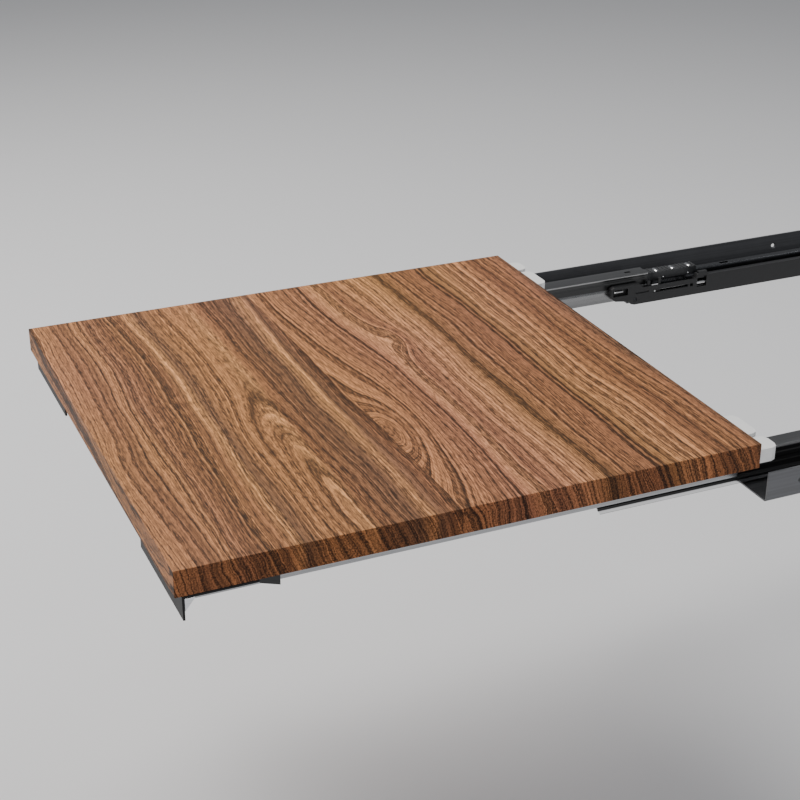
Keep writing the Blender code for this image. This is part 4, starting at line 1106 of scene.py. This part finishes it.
def ball_cage():
    """The strips on both sides of the intermediate rail, with a thin bridge over it."""
    half = 0.6 * MM
    top = drawer_high.z - SHEET - 0.4 * MM
    upper, lower = (middle_high.z - drop for drop in BALL_DROPS)
    shapes = []
    for offset, bottom in ((-11.5 * MM, lower - 2.5 * MM), (11.5 * MM, upper - 2.5 * MM)):
        x = rail_centre + offset
        shapes.append(box_shape((x - half, inner_cage_low.y, bottom), (x + half, inner_cage_high.y, top)))
    bridge = box_shape(
        (rail_centre - 11.5 * MM, inner_cage_low.y, middle_high.z + 0.4 * MM),
        (rail_centre + 11.5 * MM, inner_cage_high.y, top),
    )
    return cut(shapes[0], [shapes[1], bridge], "UNION")


both_sides("cage_balls", outer_balls, hard_steel, "outer_ball_cage", [])
both_sides(
    "ball_cage", ball_cage, grey_moulding, "inner_ball_cage", ["inner_cage"], 0.15 * MM
)
both_sides("race_balls", inner_balls, hard_steel, "inner_ball_cage", [])

# %% [markdown]
# ## Soft-close unit
# A moulded housing with a funnel nose, a slot for the catch's pin and a window onto the damper. The
# spring behind the slot is a real coil: a small ring of wire spun round and drawn along its axis.
# The pin in the nose and the leaf on the catch are guesses at two small bright parts.

# %% Round the housing and catch
softened(
    "damper_housing", "soft_close_housing", black_moulding, "cabinet_members", 0.35 * MM, 3
)
softened("catch_slider", "closing_catch", black_moulding, "catch", 0.25 * MM)
softened("rail_end_stop", "end_buffer", black_moulding, "cabinet_members", 0.5 * MM, 3)
softened("striker", "closing_striker", black_moulding, "pull_out_board", 0.5 * MM, 3)


# %% Wind the closing springs
WIRE = 0.32 * MM
SPRING_PITCH = 2.2 * MM


def closing_spring():
    low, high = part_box("closing_spring_left")
    axis_x, axis_z = (low.x + high.x) / 2, (low.z + high.z) / 2
    radius = (high.x - low.x) / 2 - WIRE
    length = high.y - low.y - 2 * WIRE
    turns = int(length / SPRING_PITCH)
    steps = turns * 12
    shape = bmesh.new()
    start = Vector((axis_x + radius, low.y + WIRE, axis_z))
    ring = bmesh.ops.create_circle(
        shape, cap_ends=False, segments=6, radius=WIRE, matrix=Matrix.Translation(start)
    )["verts"]
    edges = list({edge for vert in ring for edge in vert.link_edges})
    bmesh.ops.spin(
        shape,
        geom=ring + edges,
        cent=(axis_x, 0, axis_z),
        axis=(0, 1, 0),
        dvec=(0, length / steps, 0),
        angle=math.tau * turns,
        steps=steps,
        use_merge=False,
    )
    ends = [edge for edge in shape.edges if len(edge.link_faces) == 1]
    bmesh.ops.holes_fill(shape, edges=ends, sides=0)
    bmesh.ops.recalc_face_normals(shape, faces=shape.faces)
    return shape


springs = both_sides(
    "closing_coil", closing_spring, hard_steel, "cabinet_members", ["closing_spring"]
)
for spring, label in zip(springs, ("left", "right")):
    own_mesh(spring)


# %% Turn the damper, its rod and the catch pin
def turned(node, rounding, segments=28):
    """A round part about its own long axis, with its rims rounded."""
    low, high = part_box(node)
    size = high - low
    middle = (low + high) / 2
    axis = max(range(3), key=lambda index: size[index])
    start, end = middle.copy(), middle.copy()
    start[axis], end[axis] = low[axis], high[axis]
    radius = min(part for index, part in enumerate(size) if index != axis) / 2
    return round_rims(round_bar(start, end, radius, segments), rounding, 3)


def catch_pin():
    return turned("catch_pin_left", 0.3 * MM)


def damper_rod():
    return turned("damper_rod_left", 0.15 * MM)


def damper_tube():
    low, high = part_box("damper_cylinder_left")
    bore = Vector(((low.x + high.x) / 2, low.y, (low.z + high.z) / 2))
    tube = turned("damper_cylinder_left", 0.4 * MM)
    hole = round_bar(bore - Vector((0, 5 * MM, 0)), bore + Vector((0, 55 * MM, 0)), 1.3 * MM)
    return cut(tube, [hole])


def nose_pin():
    """A bright pin that lies in the recess of the housing's nose."""
    place = Vector((housing_high.x - 2.6 * MM, housing_low.y + 4.5 * MM, housing_high.z - 10.0 * MM))
    return round_rims(round_bar(place, place + Vector((0, 13 * MM, 0)), 1.5 * MM, 24), 0.6 * MM, 3)


both_sides("nose_pin", nose_pin, hard_steel, "cabinet_members", [])


def catch_leaf():
    """A thin steel leaf on top of the catch, with a lip turned up beside the housing's slot."""
    low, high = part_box("catch_slider_left")
    top = housing_high.z - 8.5 * MM
    face = housing_high.x - wall
    path = [
        (face - 4.6 * MM, top),
        (face - 2.1 * MM, top),
        (face - 1.7 * MM, top + 0.7 * MM),
        (face - 0.5 * MM, top + 0.7 * MM),
        (face - 0.5 * MM, top + 2.1 * MM),
    ]
    return folded_sheet(path, 0.4 * MM, (low.y + 5 * MM, low.y + 14 * MM), 0.25 * MM, 3)


both_sides("catch_leaf", catch_leaf, hard_steel, "catch", [], 0.06 * MM)
both_sides("catch_guide_pin", catch_pin, hard_steel, "catch", ["catch_pin"])
both_sides("piston_rod", damper_rod, hard_steel, "catch", ["damper_rod"])
both_sides("damper_tube", damper_tube, hard_steel, "cabinet_members", ["damper_cylinder"])

# %% [markdown]
# ## Brackets, levers and clips
# The black brackets and white clips are pressed and moulded parts with soft edges, copied from the
# frame and rounded. The grip is a wedge pushed over the lever's tail.

# %% Round the brackets, levers and clips
softened("front_bracket", "corner_bracket", black_paint, "pull_out_board", 0.35 * MM, 3)
softened("corner_brace", "bracket_brace", zinc, "pull_out_board", 0.2 * MM)
softened("release_lever", "latch_lever", zinc, "lever", 0.2 * MM)
softened("lever_grip", "latch_grip", black_moulding, "lever", 0.4 * MM, 3)
softened("rear_clip", "rear_board_clip", white_moulding, "pull_out_board", 0.9 * MM, 4)


# %% [markdown]
# ## Screws
# Every screw has a pan head with a cross recess and a plain shank. The head is a half profile spun
# round its axis, and the recess is two crossed bars taken out of it.


# %% Make the screws
def pan_head(head_radius, head_height, shank_radius, length):
    """A screw along Z, with its seat at the origin and its head below."""
    tip = min(shank_radius, length / 2)
    outline = [
        (0, -head_height),
        (head_radius * 0.55, -head_height * 0.96),
        (head_radius * 0.88, -head_height * 0.68),
        (head_radius, -head_height * 0.25),
        (head_radius, 0),
        (shank_radius, 0),
        (shank_radius, length - tip),
        (0, length),
    ]
    shape = spun(outline, 28)
    arm, depth = head_radius * 0.5, head_height * 0.7
    bars = []
    for turn in (45, 135):
        bar = box_shape((-arm, -0.35 * MM, -head_height * 1.6), (arm, 0.35 * MM, -head_height + depth))
        rotation = Matrix.Rotation(math.radians(turn), 3, "Z")
        bmesh.ops.rotate(bar, cent=(0, 0, 0), matrix=rotation, verts=bar.verts)
        bars.append(bar)
    return cut(shape, bars)


def screw_at(node, direction, length):
    """A screw in place of a frame screw, pointing in the given direction."""
    low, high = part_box(node)
    middle = (low + high) / 2
    direction = Vector(direction)
    axis = max(range(3), key=lambda index: abs(direction[index]))
    radius = max(part for index, part in enumerate(high - low) if index != axis) / 2
    full = (high - low)[axis]
    shank = min(2 * MM, radius * 0.7)
    screw = pan_head(radius, full - length, shank, length)
    seat = middle.copy()
    seat[axis] += (full / 2 - length) * (1 if direction[axis] > 0 else -1)
    turn = direction.to_track_quat("Z", "Y").to_matrix()
    bmesh.ops.rotate(screw, cent=(0, 0, 0), matrix=turn, verts=screw.verts)
    bmesh.ops.translate(screw, vec=seat, verts=screw.verts)
    return screw


for node in ("rail_screw_front", "rail_screw_rear", "bracket_screw_outer", "bracket_screw_inner"):
    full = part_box(f"{node}_left")[1].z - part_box(f"{node}_left")[0].z
    both_sides(
        f"{node}_pan_head",
        lambda: screw_at(f"{node}_left", (0, 0, 1), full - 2 * MM),
        zinc,
        "pull_out_board",
        [node],
    )
both_sides(
    "clip_screw_pan_head",
    lambda: screw_at("clip_screw_left", (0, -1, 0), 14 * MM),
    dark_zinc,
    "pull_out_board",
    ["clip_screw"],
)
both_sides(
    "cover_screw",
    lambda: screw_at("housing_screw_left", (-1, 0, 0), 0.2 * MM),
    dark_zinc,
    "cabinet_members",
    ["housing_screw"],
)


def lever_rivet():
    low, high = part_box("lever_rivet_left")
    place = Vector(((low.x + high.x) / 2, (low.y + high.y) / 2, low.z + 1.2 * MM))
    tail = (high.z - place.z) / MM
    outline = [(0, -1.2), (1.6, -1.1), (2.8, -0.7), (3.4, -0.1), (3.4, 0), (2, 0), (2, tail), (0, tail)]
    shape = spun([(radius * MM, height * MM) for radius, height in outline], 32)
    bmesh.ops.translate(shape, vec=place, verts=shape.verts)
    return shape


both_sides("pivot_rivet", lever_rivet, zinc, "pull_out_board", ["lever_rivet"])
